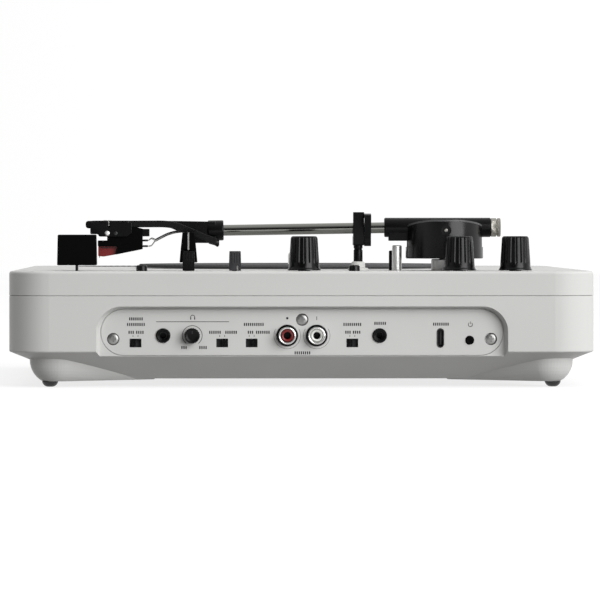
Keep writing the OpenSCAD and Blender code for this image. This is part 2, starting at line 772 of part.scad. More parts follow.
module cartridge() {
    color(black) difference() {
        translate([arm_x - 6.9, 0, 0]) rotate([90, 0, 90]) linear_extrude(13.8)
            polygon([[-99.0, 77.8], [-99.0, 71.0], [-92, 69.2], [-90, 64.3], [-79.2, 66.6], [-79.2, 73.4],
                [-75.2, 73.4], [-75.2, 77.0], [-81, 77.0], [-81, 77.8]]);
        for (x = [-1, 1]) translate([arm_x + x * 4.6, stylus_y + 4, 74.5]) cylinder(r = 1.25, h = 20);
    }
    color(nickel) for (x = [-1, 1]) for (z = [68.4, 71.2])
        along_y(arm_x + x * 3, -79.3, z) cylinder(r = 0.5, h = 4.2, $fn = 16);
}

module stylus_unit() {
    color([0.75, 0.12, 0.12]) {
        translate([arm_x - 4.6, 0, 0]) rotate([90, 0, 90]) linear_extrude(9.2)
            polygon([[-99.9, 68.6], [-99.9, 64.4], [-97, 63.2], [-90.6, 64.2], [-92.4, 68.8], [-99, 70.4]]);
    }
    color(nickel) translate([arm_x, stylus_y, 62.5]) {
        cylinder(r1 = 0.1, r2 = 0.35, h = 1.3, $fn = 16);
        translate([0, 0, 1.2]) cylinder(r = 0.35, h = 1.2, $fn = 16);
    }
}

// Four leads from the cartridge pins up into the wand
lead_starts = [[-3, 71.2], [3, 71.2], [-3, 68.4], [3, 68.4]];
lead_reach = [1.0, 0, 4.5, 3.4];
module lead_wires() {
    color(charcoal) for (k = [0:3]) {
        x = lead_starts[k][0];
        z = lead_starts[k][1];
        from = [arm_x + x, -75.0, z];
        to = [arm_x + x * 0.75, -57.1, 72.6 + 0.9 * (k % 2) - (k > 1 ? 1.6 : 0)];
        swept_tube([for (i = [0:10])
            bezier(from, from + [0, 5, 0.2], to - [0, 8, -lead_reach[k] * 0.4], to, i / 10)], 0.45, 8);
    }
}

module counterweight() {
    color(nickel) difference() {
        union() {
            along_y(arm_x, housing_back_y + eps, housing_z) cylinder(r = 4.3, h = 4.9);
            along_y(arm_x, housing_back_y - 7.8, housing_z) cylinder(r = 2, h = 8);
        }
        along_y(arm_x, housing_back_y + 2.9, housing_z) difference() {
            cylinder(r = 6, h = 0.6);
            cylinder(r = 3.7, h = 0.6);
        }
    }
}

// ---------- arm rest and cueing ----------

module arm_rest() {
    color(shell_grey) translate([arm_x + 1.5, rest_y, 0]) {
        translate([0, 0, 50]) cylinder(r = 2.5, h = 7);
        translate([0, 0, deck_z]) cylinder(r = 5.2, h = 1.3);
        translate([0, 0, deck_z]) cylinder(r = 3.5, h = 4.5);
    }
    color(black) {
        translate([arm_x + 1.5, rest_y, 60]) cylinder(r = 2.25, h = 9.5);
        translate([arm_x - 5.5, rest_y - 2.6, 68.8]) cube([12.5, 5.2, 4.4]);
        translate([arm_x + 3.6, rest_y - 2.6, 68.8]) cube([3.4, 5.2, 16.5]);
        along_y(latch_pivot[0] - 1.2, rest_y + 2.5, latch_pivot[1]) cylinder(r = pivot_r, h = 3.6);
    }
}

// Hook that swings over the tube, standing open
module arm_rest_latch() {
    open_lean = 20;
    hook_span = 26;
    color(black) translate([latch_pivot[0] - 1.2, rest_y + 2.9, latch_pivot[1]])
        rotate([90, 0, 0]) mirror([0, 0, 1]) linear_extrude(3.3) difference() {
            union() {
                circle(2.4);
                rotate(-open_lean) translate([-1.2, 0]) square([2.4, 13.2]);
                hook(13.7, 11.6, 90 - open_lean, hook_span);
            }
            circle(pivot_r + fit);
        }
}

// Arc band between two radii, from angle a over span degrees
module hook(outer, inner, a, span) {
    steps = 12;
    polygon(concat(
        [for (i = [0:steps]) outer * [cos(a + span * i / steps), sin(a + span * i / steps)]],
        [for (i = [steps:-1:0]) inner * [cos(a + span * i / steps), sin(a + span * i / steps)]]));
}

module cue_plunger() {
    color(chrome) translate([arm_x, plunger_y, 46]) {
        cylinder(r = 2.4, h = 22.2);
        translate([0, 0, 22.2]) cylinder(r1 = 2.4, r2 = 2.0, h = 0.6);
    }
}

module cue_lever() {
    color(black) translate([lever_x, lever_y, 0]) difference() {
        union() {
            translate([-1.5, -2.7, lever_pivot_z]) cube([3, 5.4, 11.8]);
            translate([0, 2.7, 63.3]) rotate([90, 0, 0]) linear_extrude(5.4) {
                translate([-1.5, -0.2]) square([3, 1.7]);
                translate([0, 1.5]) circle(1.5);
            }
            translate([0, 2.7, lever_pivot_z]) rotate([90, 0, 0]) cylinder(r = 2.2, h = 5.4);
        }
        translate([0, 5, lever_pivot_z]) rotate([90, 0, 0]) cylinder(r = 1 + fit, h = 10);
    }
}

// ---------- deck controls ----------

// Slide-control bodies, the lever's axle bracket, all under the deck
module fader_bodies() {
    color(charcoal) {
        translate([crossfader_x - 28.5, crossfader_y - 6, 42]) slotted_box(57, 12, 8.5, 46, 2.4);
        translate([pitch_x, pitch_y, 42]) rotate([0, 0, 90]) translate([-32, -5, 0])
            slotted_box(64, 10, 10, 50, 2.4);
        for (y = slider_ys) translate([small_x, y, 45]) rotate([0, 0, 90]) translate([-10.5, -4, 0])
            slotted_box(21, 8, 7.5, 18, 2.2);
    }
    color(nickel) translate([lever_x, lever_y, lever_pivot_z]) {
        rotate([90, 0, 0]) cylinder(r = 1, h = 9.6, center = true);
        for (y = [-1, 1]) translate([-2, y * 4.1 - 0.8, -4]) cube([4, 1.6, 6]);
    }
}

// Box with a blind slot in its top for a moving stem
module slotted_box(l, w, h, slot_l, slot_w) {
    difference() {
        cube([l, w, h]);
        translate([(l - slot_l) / 2, (w - slot_w) / 2, 1.5]) cube([slot_l, slot_w, h]);
    }
}

module crossfader_plate() {
    color(shell_grey) translate([crossfader_x, crossfader_y, deck_z - 0.75]) difference() {
        linear_extrude(0.85) rounded_rect(61.7, 43.7, 2.85);
        translate([-23, -1, -1]) cube([46, 2, 5]);
        for (x = [-27, 27]) translate([x, 0, -1]) cylinder(r = 1.3, h = 5);
    }
}

module crossfader_cap() {
    color(black) translate([crossfader_x, crossfader_y, 0]) {
        translate([-7.6, 0, 59.1]) rotate([90, 0, 90]) linear_extrude(15.2)
            polygon([[-9.5, 0], [9.5, 0], [9.2, 15], [-9.2, 15]]);
        translate([-2.5, -0.65, 45]) cube([5, 1.3, 15]);
    }
}

module pitch_fader_cap() {
    color(black) translate([pitch_x, pitch_y, 0]) {
        translate([-6.5, 0, 60.5]) rotate([90, 0, 90]) linear_extrude(13)
            polygon([[-4.4, 0], [4.4, 0], [3.6, 8], [2.9, 14.7], [-2.9, 14.7], [-3.6, 8]]);
        translate([-0.65, -2, 45]) cube([1.3, 4, 16]);
    }
}

module slider_cap(y) {
    color(charcoal) translate([small_x, y, 0]) {
        translate([-3.5, -2.95, deck_z + 0.2]) cube([7, 5.9, 9.5]);
        translate([-0.7, -1.6, 47.5]) cube([1.4, 3.2, 10]);
    }
}

module tone_slider_cap() { slider_cap(slider_ys[0]); }
module speed_slider_cap() { slider_cap(slider_ys[1]); }

module knob_pots() {
    color(nickel) for (y = knob_ys) translate([knob_x, y, 0]) difference() {
        translate([0, 0, 43]) cylinder(r = 6.8, h = 10);
        translate([0, 0, 45]) cylinder(r = 3 + fit, h = 20);
    }
}

// Fluted knob on its shaft
flutes = 18;
knob_taper = 3.4;
module rotary_knob(y) {
    color(black) translate([knob_x, y, deck_z + 0.3]) {
        difference() {
            rotate_extrude() polygon([[0, 0], [7.53, 0], [6.6, knob_h - 1.3],
                [6.2, knob_h - 0.6], [5.5, knob_h - 0.3], [0, knob_h - 0.3]]);
            for (k = [0:flutes - 1]) rotate([0, 0, 360 * (k + 0.5) / flutes])
                translate([7.5, 0, 3.3]) rotate([0, -knob_taper, 0]) cylinder(r = 0.75, h = knob_h, $fn = 20);
            translate([-0.4, 3.2, knob_h - 0.7]) cube([0.8, 4, 2]);
        }
        rotate_extrude() polygon([[0, 0], [8.15, 0], [8.15, 0.5], [7.45, 1.6], [0, 1.6]]);
        translate([0, 0, -10]) cylinder(r = 3, h = 10.5);
    }
}

module volume_knob() { rotary_knob(knob_ys[0]); }
module bass_knob() { rotary_knob(knob_ys[1]); }
module treble_knob() { rotary_knob(knob_ys[2]); }

module deck_button(y) {
    color(black) translate([small_x, y, 0]) rotate_extrude() {
        square_from(0, 52, 2.7, deck_z + 2.0);
        square_from(0, deck_z + 1.9, 1.7, deck_z + 3.0);
        translate([1.7, deck_z + 2.0]) circle(1);
        square_from(0, 52, 3.4, 53.2);
    }
}

module start_button() { deck_button(button_ys[0]); }
module select_button() { deck_button(button_ys[1]); }

bottom_case();
top_case();
case_screws();
rubber_feet();
connector_plate();
plate_screws();
rca_housing();
rca_shells();
rca_insulator_red();
rca_insulator_white();
headphone_jack();
aux_jack();
usb_socket();
headphone_knob();
switch_bodies();
fader_reverse_slider();
monitor_slider();
cartridge_slider();
speaker_slider();
power_button();
jack_board();
main_board();
battery_pack();
speaker_driver();
speaker_grille();
motor();
motor_pulley();
drive_belt();
platter();
slipmat();
spindle();
bearing_housing();
arm_post();
arm_drum();
pivot_screws();
arm_housing();
arm_tube();
arm_wand();
headshell();
headshell_screws();
cartridge();
stylus_unit();
lead_wires();
counterweight();
arm_rest();
arm_rest_latch();
cue_plunger();
cue_lever();
fader_bodies();
crossfader_plate();
crossfader_cap();
pitch_fader_cap();
tone_slider_cap();
speed_slider_cap();
knob_pots();
volume_knob();
bass_knob();
treble_knob();
start_button();
select_button();
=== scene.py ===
import json
import math

import bmesh
import bpy
from mathutils import Matrix, Vector


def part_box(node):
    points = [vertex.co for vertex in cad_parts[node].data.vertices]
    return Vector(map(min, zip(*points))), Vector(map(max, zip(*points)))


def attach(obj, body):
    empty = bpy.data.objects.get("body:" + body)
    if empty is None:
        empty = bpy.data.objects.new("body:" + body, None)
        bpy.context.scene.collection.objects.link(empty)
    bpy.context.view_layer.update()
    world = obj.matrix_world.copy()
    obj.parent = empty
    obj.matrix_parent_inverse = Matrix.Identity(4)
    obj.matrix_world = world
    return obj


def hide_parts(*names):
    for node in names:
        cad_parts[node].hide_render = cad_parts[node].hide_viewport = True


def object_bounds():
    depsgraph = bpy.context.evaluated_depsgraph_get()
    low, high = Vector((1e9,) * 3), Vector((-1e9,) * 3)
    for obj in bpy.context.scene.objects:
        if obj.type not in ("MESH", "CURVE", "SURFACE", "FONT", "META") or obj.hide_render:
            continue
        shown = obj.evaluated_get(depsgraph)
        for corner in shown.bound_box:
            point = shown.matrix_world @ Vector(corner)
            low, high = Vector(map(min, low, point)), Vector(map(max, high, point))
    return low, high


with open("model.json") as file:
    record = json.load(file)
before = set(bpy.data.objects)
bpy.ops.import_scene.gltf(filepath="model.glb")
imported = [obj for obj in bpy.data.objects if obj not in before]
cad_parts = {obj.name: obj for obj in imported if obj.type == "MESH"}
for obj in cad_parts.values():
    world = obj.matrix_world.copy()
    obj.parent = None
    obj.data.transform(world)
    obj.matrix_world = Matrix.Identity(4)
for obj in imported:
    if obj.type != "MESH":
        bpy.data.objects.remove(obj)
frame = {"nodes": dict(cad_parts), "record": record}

CAD_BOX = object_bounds()
MM = 0.001
BODY_OF = {n: b for b, ns in frame["record"]["behaviour"]["bodies"].items() for n in ns}
SLOT_OF = {row["node"]: row["material_slot"] for row in frame["record"]["subparts"]}


# ---------- camera, floor and light ----------

FOCAL_OVER_WIDTH = 4982 / 600       # focal length in picture widths
VIEW_DISTANCE = 2410 * MM           # camera to the connector side
VIEW_ACROSS = -47.1 * MM
VIEW_HEIGHT = 77.0 * MM
VIEW_YAW = math.radians(1.092)
VIEW_PITCH = math.radians(0.82)
KEY_PLACE = Vector((1.9, 1.35, 0.75))
KEY_TARGET = Vector((0.1, 0, 0.03))
KEY_SIZE = 1.8                      # both sides of the soft light
KEY_POWER = 58
FLOOR_REACH = 6.0
FLOOR_GLOW = 0.74


def make_camera():
    data = bpy.data.cameras.new("camera")
    data.sensor_width = 36
    data.lens = FOCAL_OVER_WIDTH * data.sensor_width
    data.clip_start, data.clip_end = 0.05, 50
    camera = bpy.data.objects.new("camera", data)
    bpy.context.scene.collection.objects.link(camera)
    camera.location = (CAD_BOX[1].x + VIEW_DISTANCE, VIEW_ACROSS, VIEW_HEIGHT)
    towards = Vector((-1, math.tan(VIEW_YAW), -math.tan(VIEW_PITCH)))
    camera.rotation_mode = "QUATERNION"
    camera.rotation_quaternion = towards.to_track_quat("-Z", "Y")
    bpy.context.scene.camera = camera


def make_key_light():
    data = bpy.data.lights.new("key", "AREA")
    data.shape = "RECTANGLE"
    data.size = data.size_y = KEY_SIZE
    data.energy = KEY_POWER
    light = bpy.data.objects.new("key", data)
    bpy.context.scene.collection.objects.link(light)
    light.location = KEY_PLACE
    light.rotation_mode = "QUATERNION"
    light.rotation_quaternion = (KEY_TARGET - KEY_PLACE).to_track_quat("-Z", "Y")


def make_world():
    """White studio sky, dimmer from below, from the -Y side and from behind the camera."""
    world = bpy.data.worlds.new("studio")
    world.use_nodes = True
    tree = world.node_tree
    background = tree.nodes["Background"]
    background.inputs["Color"].default_value = rgb(1, 1, 1)
    where = tree.nodes.new("ShaderNodeSeparateXYZ")
    tree.links.new(tree.nodes.new("ShaderNodeTexCoord").outputs["Generated"], where.inputs[0])

    def graded(axis, low, high, start, end):
        """Brightness from start to end as the direction's part along the axis goes from low to high."""
        made = tree.nodes.new("ShaderNodeMapRange")
        tree.links.new(where.outputs[axis], made.inputs["Value"])
        for key, number in zip(("From Min", "From Max", "To Min", "To Max"), (low, high, start, end)):
            made.inputs[key].default_value = number
        return made.outputs["Result"]

    def times(first, second):
        made = tree.nodes.new("ShaderNodeMath")
        made.operation = "MULTIPLY"
        tree.links.new(first, made.inputs[0])
        tree.links.new(second, made.inputs[1])
        return made.outputs[0]

    height = graded("Z", -0.25, -0.02, 0.35, 1.06)
    side = graded("X", -0.2, 0.8, 1.0, 0.62)
    hand = graded("Y", -0.9, 0.1, 0.55, 1.0)
    camera_gap = graded("X", 0.5, 0.9, 1.0, 0.01)
    tree.links.new(times(times(height, side), times(hand, camera_gap)), background.inputs["Strength"])
    bpy.context.scene.world = world


def make_stage():
    make_world()
    bpy.context.scene.view_settings.view_transform = "Standard"
    mesh = bpy.data.meshes.new("floor")
    mesh.from_pydata([(FLOOR_REACH * u, FLOOR_REACH * v, 0) for u, v in ((-1, -1), (1, -1), (1, 1), (-1, 1))],
                     [], [(0, 1, 2, 3)])
    floor = bpy.data.objects.new("floor", mesh)
    bpy.context.scene.collection.objects.link(floor)
    floor.data.materials.append(floor_paint())
    floor.visible_diffuse = False
    floor.visible_shadow = False
    make_key_light()


# ---------- materials ----------

class Paint:
    """A principled material and a short way to add nodes to it."""

    def __init__(self, name):
        self.material = bpy.data.materials.new(name)
        self.material.use_nodes = True
        self.tree = self.material.node_tree
        self.shader = self.tree.nodes["Principled BSDF"]

    def node(self, kind, **values):
        made = self.tree.nodes.new("ShaderNode" + kind)
        for key, value in values.items():
            if key in made.inputs:
                self.feed(made.inputs[key], value)
            else:
                setattr(made, key, value)
        return made

    def feed(self, socket, value):
        if isinstance(value, bpy.types.NodeSocket):
            self.tree.links.new(value, socket)
        else:
            socket.default_value = value

    def set(self, **values):
        for key, value in values.items():
            self.feed(self.shader.inputs[key.replace("_", " ")], value)

    def place(self):
        return self.node("TexCoord").outputs["Object"]

    def noise(self, scale, detail=3.0, rough=0.5, stretch=None):
        where = self.place()
        if stretch:
            where = self.node("Mapping", Vector=where, Scale=stretch).outputs["Vector"]
        return self.node("TexNoise", Vector=where, Scale=scale, Detail=detail, Roughness=rough).outputs["Fac"]

    def ramp(self, value, start, end, low=0.3, high=0.7):
        made = self.node("MapRange", Value=value)
        for key, number in (("From Min", low), ("From Max", high), ("To Min", start), ("To Max", end)):
            made.inputs[key].default_value = number
        return made.outputs["Result"]

    def mix(self, factor, first, second):
        made = self.node("Mix", data_type="RGBA")
        self.feed(made.inputs[0], factor)
        self.feed(made.inputs[6], first)
        self.feed(made.inputs[7], second)
        return made.outputs[2]

    def mottled(self, noise, colour, dark, light):
        """The colour, darker and lighter with the noise."""
        return self.mix(self.ramp(noise, 0, 1), shade(colour, dark), shade(colour, light))

    def bump(self, height, strength, depth):
        made = self.node("Bump", Height=height, Strength=strength, Distance=depth)
        self.feed(self.shader.inputs["Normal"], made.outputs["Normal"])


def rgb(r, g, b):
    return (r, g, b, 1.0)


def shade(colour, factor):
    return rgb(*(min(1.0, c * factor) for c in colour[:3]))


def floor_paint():
    """Pale paper that glows a little, as paper does under a light tent."""
    p = Paint("floor_paint")
    tone = p.ramp(p.noise(1.5), 0, 1)
    p.set(Base_Color=p.mix(tone, rgb(0.30, 0.30, 0.30), rgb(0.33, 0.33, 0.33)), Roughness=0.9)
    p.shader.inputs["Specular IOR Level"].default_value = 0.0
    p.shader.inputs["Emission Color"].default_value = rgb(1, 1, 1)
    p.shader.inputs["Emission Strength"].default_value = FLOOR_GLOW
    return p.material


def moulding(name, colour, rough, grain=1800, depth=0.02, wear=0.0, gloss=0.5):
    """Injection-moulded plastic: fine spark grain, faint cloudy tone, worn edges a touch lighter."""
    p = Paint(name)
    p.shader.inputs["Specular IOR Level"].default_value = gloss
    tone = p.mottled(p.noise(9, detail=4), colour, 0.97, 1.03)
    if wear:
        edge = p.ramp(p.node("NewGeometry").outputs["Pointiness"], 0, wear, 0.52, 0.6)
        tone = p.mix(edge, tone, shade(colour, 2.5))
    smear = p.noise(60, detail=5)
    p.set(Base_Color=tone, Roughness=p.ramp(smear, rough - 0.05, rough + 0.05))
    p.bump(p.noise(grain, detail=2, rough=0.6), 0.35, depth * MM)
    return p.material


def plated(name, colour, rough, stretch=(1, 1, 1)):
    """Plated or brushed metal with fine directional scratches."""
    p = Paint(name)
    lines = p.noise(900, detail=2, stretch=stretch)
    p.set(Base_Color=p.mottled(lines, colour, 0.96, 1.02), Metallic=1.0,
          Roughness=p.ramp(lines, rough * 0.85, rough * 1.2))
    p.bump(lines, 0.06, 0.005 * MM)
    return p.material


def turned_alloy(name, colour, centre):
    """Turned metal: fine rings round an upright axis."""
    p = Paint(name)
    local = p.node("Mapping", Vector=p.place(), Location=(-centre.x, -centre.y, 0)).outputs["Vector"]
    rings = p.node("TexWave", wave_type="RINGS", rings_direction="Z", Vector=local, Scale=350,
                   Distortion=0.3, Detail=2).outputs["Fac"]
    p.set(Base_Color=p.mix(rings, shade(colour, 0.93), shade(colour, 1.03)), Metallic=1.0,
          Roughness=p.ramp(rings, 0.26, 0.4, 0, 1))
    p.bump(rings, 0.2, 0.02 * MM)
    return p.material


def felt(name, colour):
    p = Paint(name)
    fibres = p.noise(2600, detail=6, rough=0.75)
    patches = p.noise(45, detail=5)
    tone = p.mottled(fibres, colour, 0.6, 1.5)
    tone = p.mix(p.ramp(patches, 0, 0.35, 0.35, 0.65), tone, shade(colour, 1.25))
    p.set(Base_Color=tone, Roughness=0.95)
    p.shader.inputs["Specular IOR Level"].default_value = 0.0
    p.shader.inputs["Sheen Weight"].default_value = 0.04
    p.shader.inputs["Sheen Roughness"].default_value = 0.5
    p.bump(fibres, 0.9, 0.12 * MM)
    return p.material


def rubber(name, colour, rough=0.7):
    p = Paint(name)
    dust = p.noise(240, detail=6, rough=0.7)
    p.set(Base_Color=p.mix(p.ramp(dust, 0, 1, 0.4, 0.7), colour, shade(colour, 1.9)),
          Roughness=p.ramp(dust, rough - 0.08, rough + 0.1))
    p.bump(p.noise(1500), 0.3, 0.03 * MM)
    return p.material


def glossy(name, colour, rough):
    p = Paint(name)
    flow = p.noise(70, detail=3)
    p.set(Base_Color=p.mottled(flow, colour, 0.9, 1.08), Roughness=p.ramp(flow, rough * 0.8, rough * 1.3))
    p.shader.inputs["Coat Weight"].default_value = 0.3
    p.bump(flow, 0.1, 0.05 * MM)
    return p.material


def board_paint(name):
    p = Paint(name)
    tracks = p.node("TexBrick", Vector=p.place(), Scale=160).outputs["Fac"]
    p.set(Base_Color=p.mix(tracks, rgb(0.02, 0.16, 0.07), rgb(0.05, 0.24, 0.11)), Roughness=0.35)
    p.bump(tracks, 0.2, 0.05 * MM)
    return p.material


SHELL = rgb(0.59, 0.59, 0.575)
BLACK = rgb(0.0015, 0.0015, 0.0018)
SPINDLE_PLACE = (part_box("spindle")[0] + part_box("spindle")[1]) / 2
PAINTS = {
    "case_shell": moulding("case_plastic", SHELL, 0.5, grain=1500, depth=0.03, gloss=0.2),
    "panel_plate": moulding("panel_plastic", shade(SHELL, 0.98), 0.45, grain=1700, depth=0.03),
    "black_plastic": moulding("black_satin", BLACK, 0.27, grain=1400, wear=0.4, gloss=0.16),
    "knob_black": moulding("black_semi_gloss", BLACK, 0.26, depth=0.01, wear=0.3, gloss=0.26),
    "matte_black": moulding("black_matte", rgb(0.0018, 0.0018, 0.0018), 0.45, grain=1300, depth=0.03,
                            gloss=0.03),
    "charcoal_plastic": moulding("charcoal", rgb(0.024, 0.024, 0.026), 0.5, wear=0.4, gloss=0.15),
    "rubber_black": rubber("foot_rubber", rgb(0.006, 0.006, 0.006), 0.3),
    "bright_chrome": plated("chrome_plate", rgb(0.74, 0.74, 0.73), 0.12),
    "nickel": plated("nickel_plate", rgb(0.42, 0.40, 0.34), 0.30),
    "screw_steel": plated("zinc_steel", rgb(0.27, 0.27, 0.265), 0.36),
    "platter_alloy": turned_alloy("platter_turned", rgb(0.085, 0.085, 0.085), SPINDLE_PLACE),
    "slipmat_felt": felt("slipmat_felt", rgb(0.105, 0.105, 0.108)),
    "red_plastic": glossy("red_moulding", rgb(0.20, 0.011, 0.011), 0.3),
    "white_plastic": glossy("white_moulding", rgb(0.78, 0.78, 0.75), 0.3),
    "circuit_board": board_paint("solder_mask"),
    "battery_wrap": glossy("battery_sleeve", rgb(0.02, 0.06, 0.2), 0.3),
    "lead_sleeve": rubber("lead_sleeve", rgb(0.02, 0.02, 0.022)),
    "arm_steel": plated("arm_tube_steel", rgb(0.24, 0.24, 0.225), 0.13, stretch=(1, 0.04, 1)),
    "dark_steel": plated("blackened_steel", rgb(0.06, 0.06, 0.06), 0.3),
    "print_grey": moulding("printed_ink", rgb(0.03, 0.03, 0.03), 0.6, gloss=0.1),
    "print_white": moulding("white_ink", rgb(0.62, 0.62, 0.60), 0.5),
    "weight_nickel": plated("weight_nickel", rgb(0.38, 0.37, 0.335), 0.34),
    "column_steel": plated("column_steel", rgb(0.80, 0.80, 0.79), 0.42),
    "drum_black": moulding("drum_satin", rgb(0.0012, 0.0012, 0.0014), 0.24, grain=1600, gloss=0.34),
    # grey of a painted highlight: the lighter band on the arm drum's rounded top edge
    "rim_painted_highlight": moulding("drum_edge_painted_highlight", rgb(0.075, 0.075, 0.078), 0.4, gloss=0.4),
    "print_silver": moulding("silver_ink", rgb(0.34, 0.34, 0.33), 0.5),
}


# ---------- mesh building, in millimetres ----------

def box_of(node):
    low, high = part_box(node)
    return low / MM, high / MM


def centre_of(node):
    low, high = box_of(node)
    return (low + high) / 2


def foot_of(node):
    """The place under a node's centre, at the table's height."""
    return centre_of(node) * Vector((1, 1, 0))


def joint_place(name):
    """Where the record puts a joint."""
    rows = frame["record"]["behaviour"]["joints"]
    return next(Vector(row["pos_m"]) / MM for row in rows if row["name"] == name)


DECK_Z = box_of("top_case")[1].z


def spot(axis, u, v, w):
    """A point drawn across an axis at (u, v) and w along it."""
    return Vector({"X": (w, u, v), "Y": (u, w, v), "Z": (u, v, w)}[axis])


def rounded(points, radius, closed=True, steps=4):
    """The outline with each corner turned into a small arc."""
    made = []
    count = len(points)
    for i, corner in enumerate(points):
        if not closed and i in (0, count - 1):
            made.append(tuple(corner))
            continue
        here = Vector(corner)
        back = Vector(points[i - 1]) - here
        ahead = Vector(points[(i + 1) % count]) - here
        reach = min(radius, back.length * 0.45, ahead.length * 0.45)
        start = here + back.normalized() * reach
        end = here + ahead.normalized() * reach
        for k in range(steps + 1):
            t = k / steps
            made.append(tuple(start.lerp(here, t).lerp(here.lerp(end, t), t)))
    return made


def skin_rings(mesh, rings):
    """Faces between neighbouring rings; a ring of one point is a tip."""
    for low, high in zip(rings, rings[1:]):
        count = max(len(low), len(high))
        for k in range(count):
            corners = []
            for vertex in (low[k % len(low)], low[(k + 1) % len(low)],
                           high[(k + 1) % len(high)], high[k % len(high)]):
                if vertex not in corners:
                    corners.append(vertex)
            if len(corners) > 2:
                mesh.faces.new(corners)


def lathe(profile, centre, axis="Z", steps=64, squeeze=None):
    """Profile of (radius, height) turned round an axis; squeeze(radius, height, angle) may reshape it."""
    mesh = bmesh.new()
    rings = []
    for radius, height in profile:
        if radius < 1e-6:
            rings.append([mesh.verts.new(centre + spot(axis, 0, 0, height))])
            continue
        ring = []
        for k in range(steps):
            angle = 2 * math.pi * k / steps
            r = squeeze(radius, height, angle) if squeeze else radius
            ring.append(mesh.verts.new(centre + spot(axis, r * math.cos(angle), r * math.sin(angle), height)))
        rings.append(ring)
    skin_rings(mesh, rings)
    return mesh


def turned(profile, soft, centre, axis, steps):
    """Solid turned from a profile that starts and ends on the axis, its corners softened."""
    return lathe(rounded(profile, soft, closed=False), centre, axis, steps)


def closed_lathe(profile, centre, axis, steps):
    """A ring: the profile closes on itself."""
    mesh = lathe(list(profile) + [profile[0]], centre, axis, steps)
    bmesh.ops.remove_doubles(mesh, verts=mesh.verts, dist=1e-5)
    return mesh


def prism(outline, low, high, axis="Z"):
    """Outline across an axis, drawn out from low to high along it."""
    mesh = bmesh.new()
    ends = [[mesh.verts.new(spot(axis, u, v, w)) for u, v in outline] for w in (low, high)]
    skin_rings(mesh, ends)
    for end in ends:
        mesh.faces.new(end)
    return mesh


def bar(u, v, length, height):
    """Rectangle outline round (u, v)."""
    return [(u + side * length / 2, v + up * height / 2) for side, up in ((-1, -1), (1, -1), (1, 1), (-1, 1))]


def slab(low, high):
    """Upright block between two corners."""
    return prism([(low[0], low[1]), (high[0], low[1]), (high[0], high[1]), (low[0], high[1])],
                 low[2], high[2])


def sweep(points, radius, sides):
    """Round tube along points, closed at both ends."""
    mesh = bmesh.new()
    rings = []
    for i, point in enumerate(points):
        ahead = Vector(points[min(i + 1, len(points) - 1)]) - Vector(points[max(i - 1, 0)])
        turn = ahead.normalized().to_track_quat("Z", "X")
        angles = [2 * math.pi * k / sides for k in range(sides)]
        spokes = [Vector((radius * math.cos(a), radius * math.sin(a), 0)) for a in angles]
        rings.append([mesh.verts.new(Vector(point) + turn @ spoke) for spoke in spokes])
    skin_rings(mesh, rings)
    mesh.faces.new(rings[0])
    mesh.faces.new(rings[-1])
    return mesh


def mirrored(points, middle):
    """Outline of half outline and mirror image; the first coordinates are measured from the middle."""
    return [(middle + u, v) for u, v in points] + [(middle - u, v) for u, v in reversed(points)]


def joined(*meshes):
    """Several meshes as one; they are used up."""
    whole = bmesh.new()
    for part in meshes:
        bridge = bpy.data.meshes.new("bridge")
        part.to_mesh(bridge)
        part.free()
        whole.from_mesh(bridge)
        bpy.data.meshes.remove(bridge)
    return whole


def moved(mesh, matrix):
    bmesh.ops.transform(mesh, matrix=matrix, verts=mesh.verts)
    return mesh


def combined(solid, tools, operation):
    """The solid cut by, or kept inside, other solids."""
    made = []
    for part in [solid] + list(tools):
        bmesh.ops.recalc_face_normals(part, faces=part.faces)
        mesh = bpy.data.meshes.new("solid")
        part.to_mesh(mesh)
        part.free()
        made.append(bpy.data.objects.new("solid", mesh))
        bpy.context.scene.collection.objects.link(made[-1])
    for tool in made[1:]:
        cut = made[0].modifiers.new("cut", "BOOLEAN")
        cut.operation = operation
        cut.solver = "EXACT"
        cut.object = tool
    graph = bpy.context.evaluated_depsgraph_get()
    result = bmesh.new()
    evaluated = bpy.data.meshes.new_from_object(made[0].evaluated_get(graph))
    result.from_mesh(evaluated)
    bpy.data.meshes.remove(evaluated)
    for part in made:
        mesh = part.data
        bpy.data.objects.remove(part)
        bpy.data.meshes.remove(mesh)
    return result


def carved(solid, *tools):
    return combined(solid, tools, "DIFFERENCE")


def shared(solid, *tools):
    return combined(solid, tools, "INTERSECT")


CREASE = math.radians(32)


def piece(name, mesh, nodes=(), like=None, body=None, slot=None, paint=None, bevel=0.0, steps=3):
    """The finished object, in metres. It takes body and slot from its nodes, or from a node it is like."""
    bmesh.ops.remove_doubles(mesh, verts=mesh.verts, dist=1e-4)
    bmesh.ops.recalc_face_normals(mesh, faces=mesh.faces)
    bmesh.ops.scale(mesh, vec=(MM, MM, MM), verts=mesh.verts)
    data = bpy.data.meshes.new(name)
    mesh.to_mesh(data)
    mesh.free()
    data.polygons.foreach_set("use_smooth", [True] * len(data.polygons))
    made = bpy.data.objects.new(name, data)
    bpy.context.scene.collection.objects.link(made)
    if bevel:
        soften = made.modifiers.new("soft_edges", "BEVEL")
        soften.width = bevel * MM
        soften.segments = steps
        soften.limit_method = "ANGLE"
        soften.angle_limit = CREASE
        soften.harden_normals = True
    else:
        data.set_sharp_from_angle(angle=CREASE)
    like = like or (nodes[0] if nodes else None)
    slot = slot or SLOT_OF[like]
    data.materials.append(PAINTS[paint or slot])
    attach(made, body or BODY_OF[like])
    if nodes:
        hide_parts(*nodes)


# ---------- connector panel ----------

PANEL_X = box_of("connector_plate")[1].x


def front_of(node):
    """The middle of a node's outer face on the panel's side."""
    centre = centre_of(node)
    return Vector((box_of(node)[1].x, centre.y, centre.z))


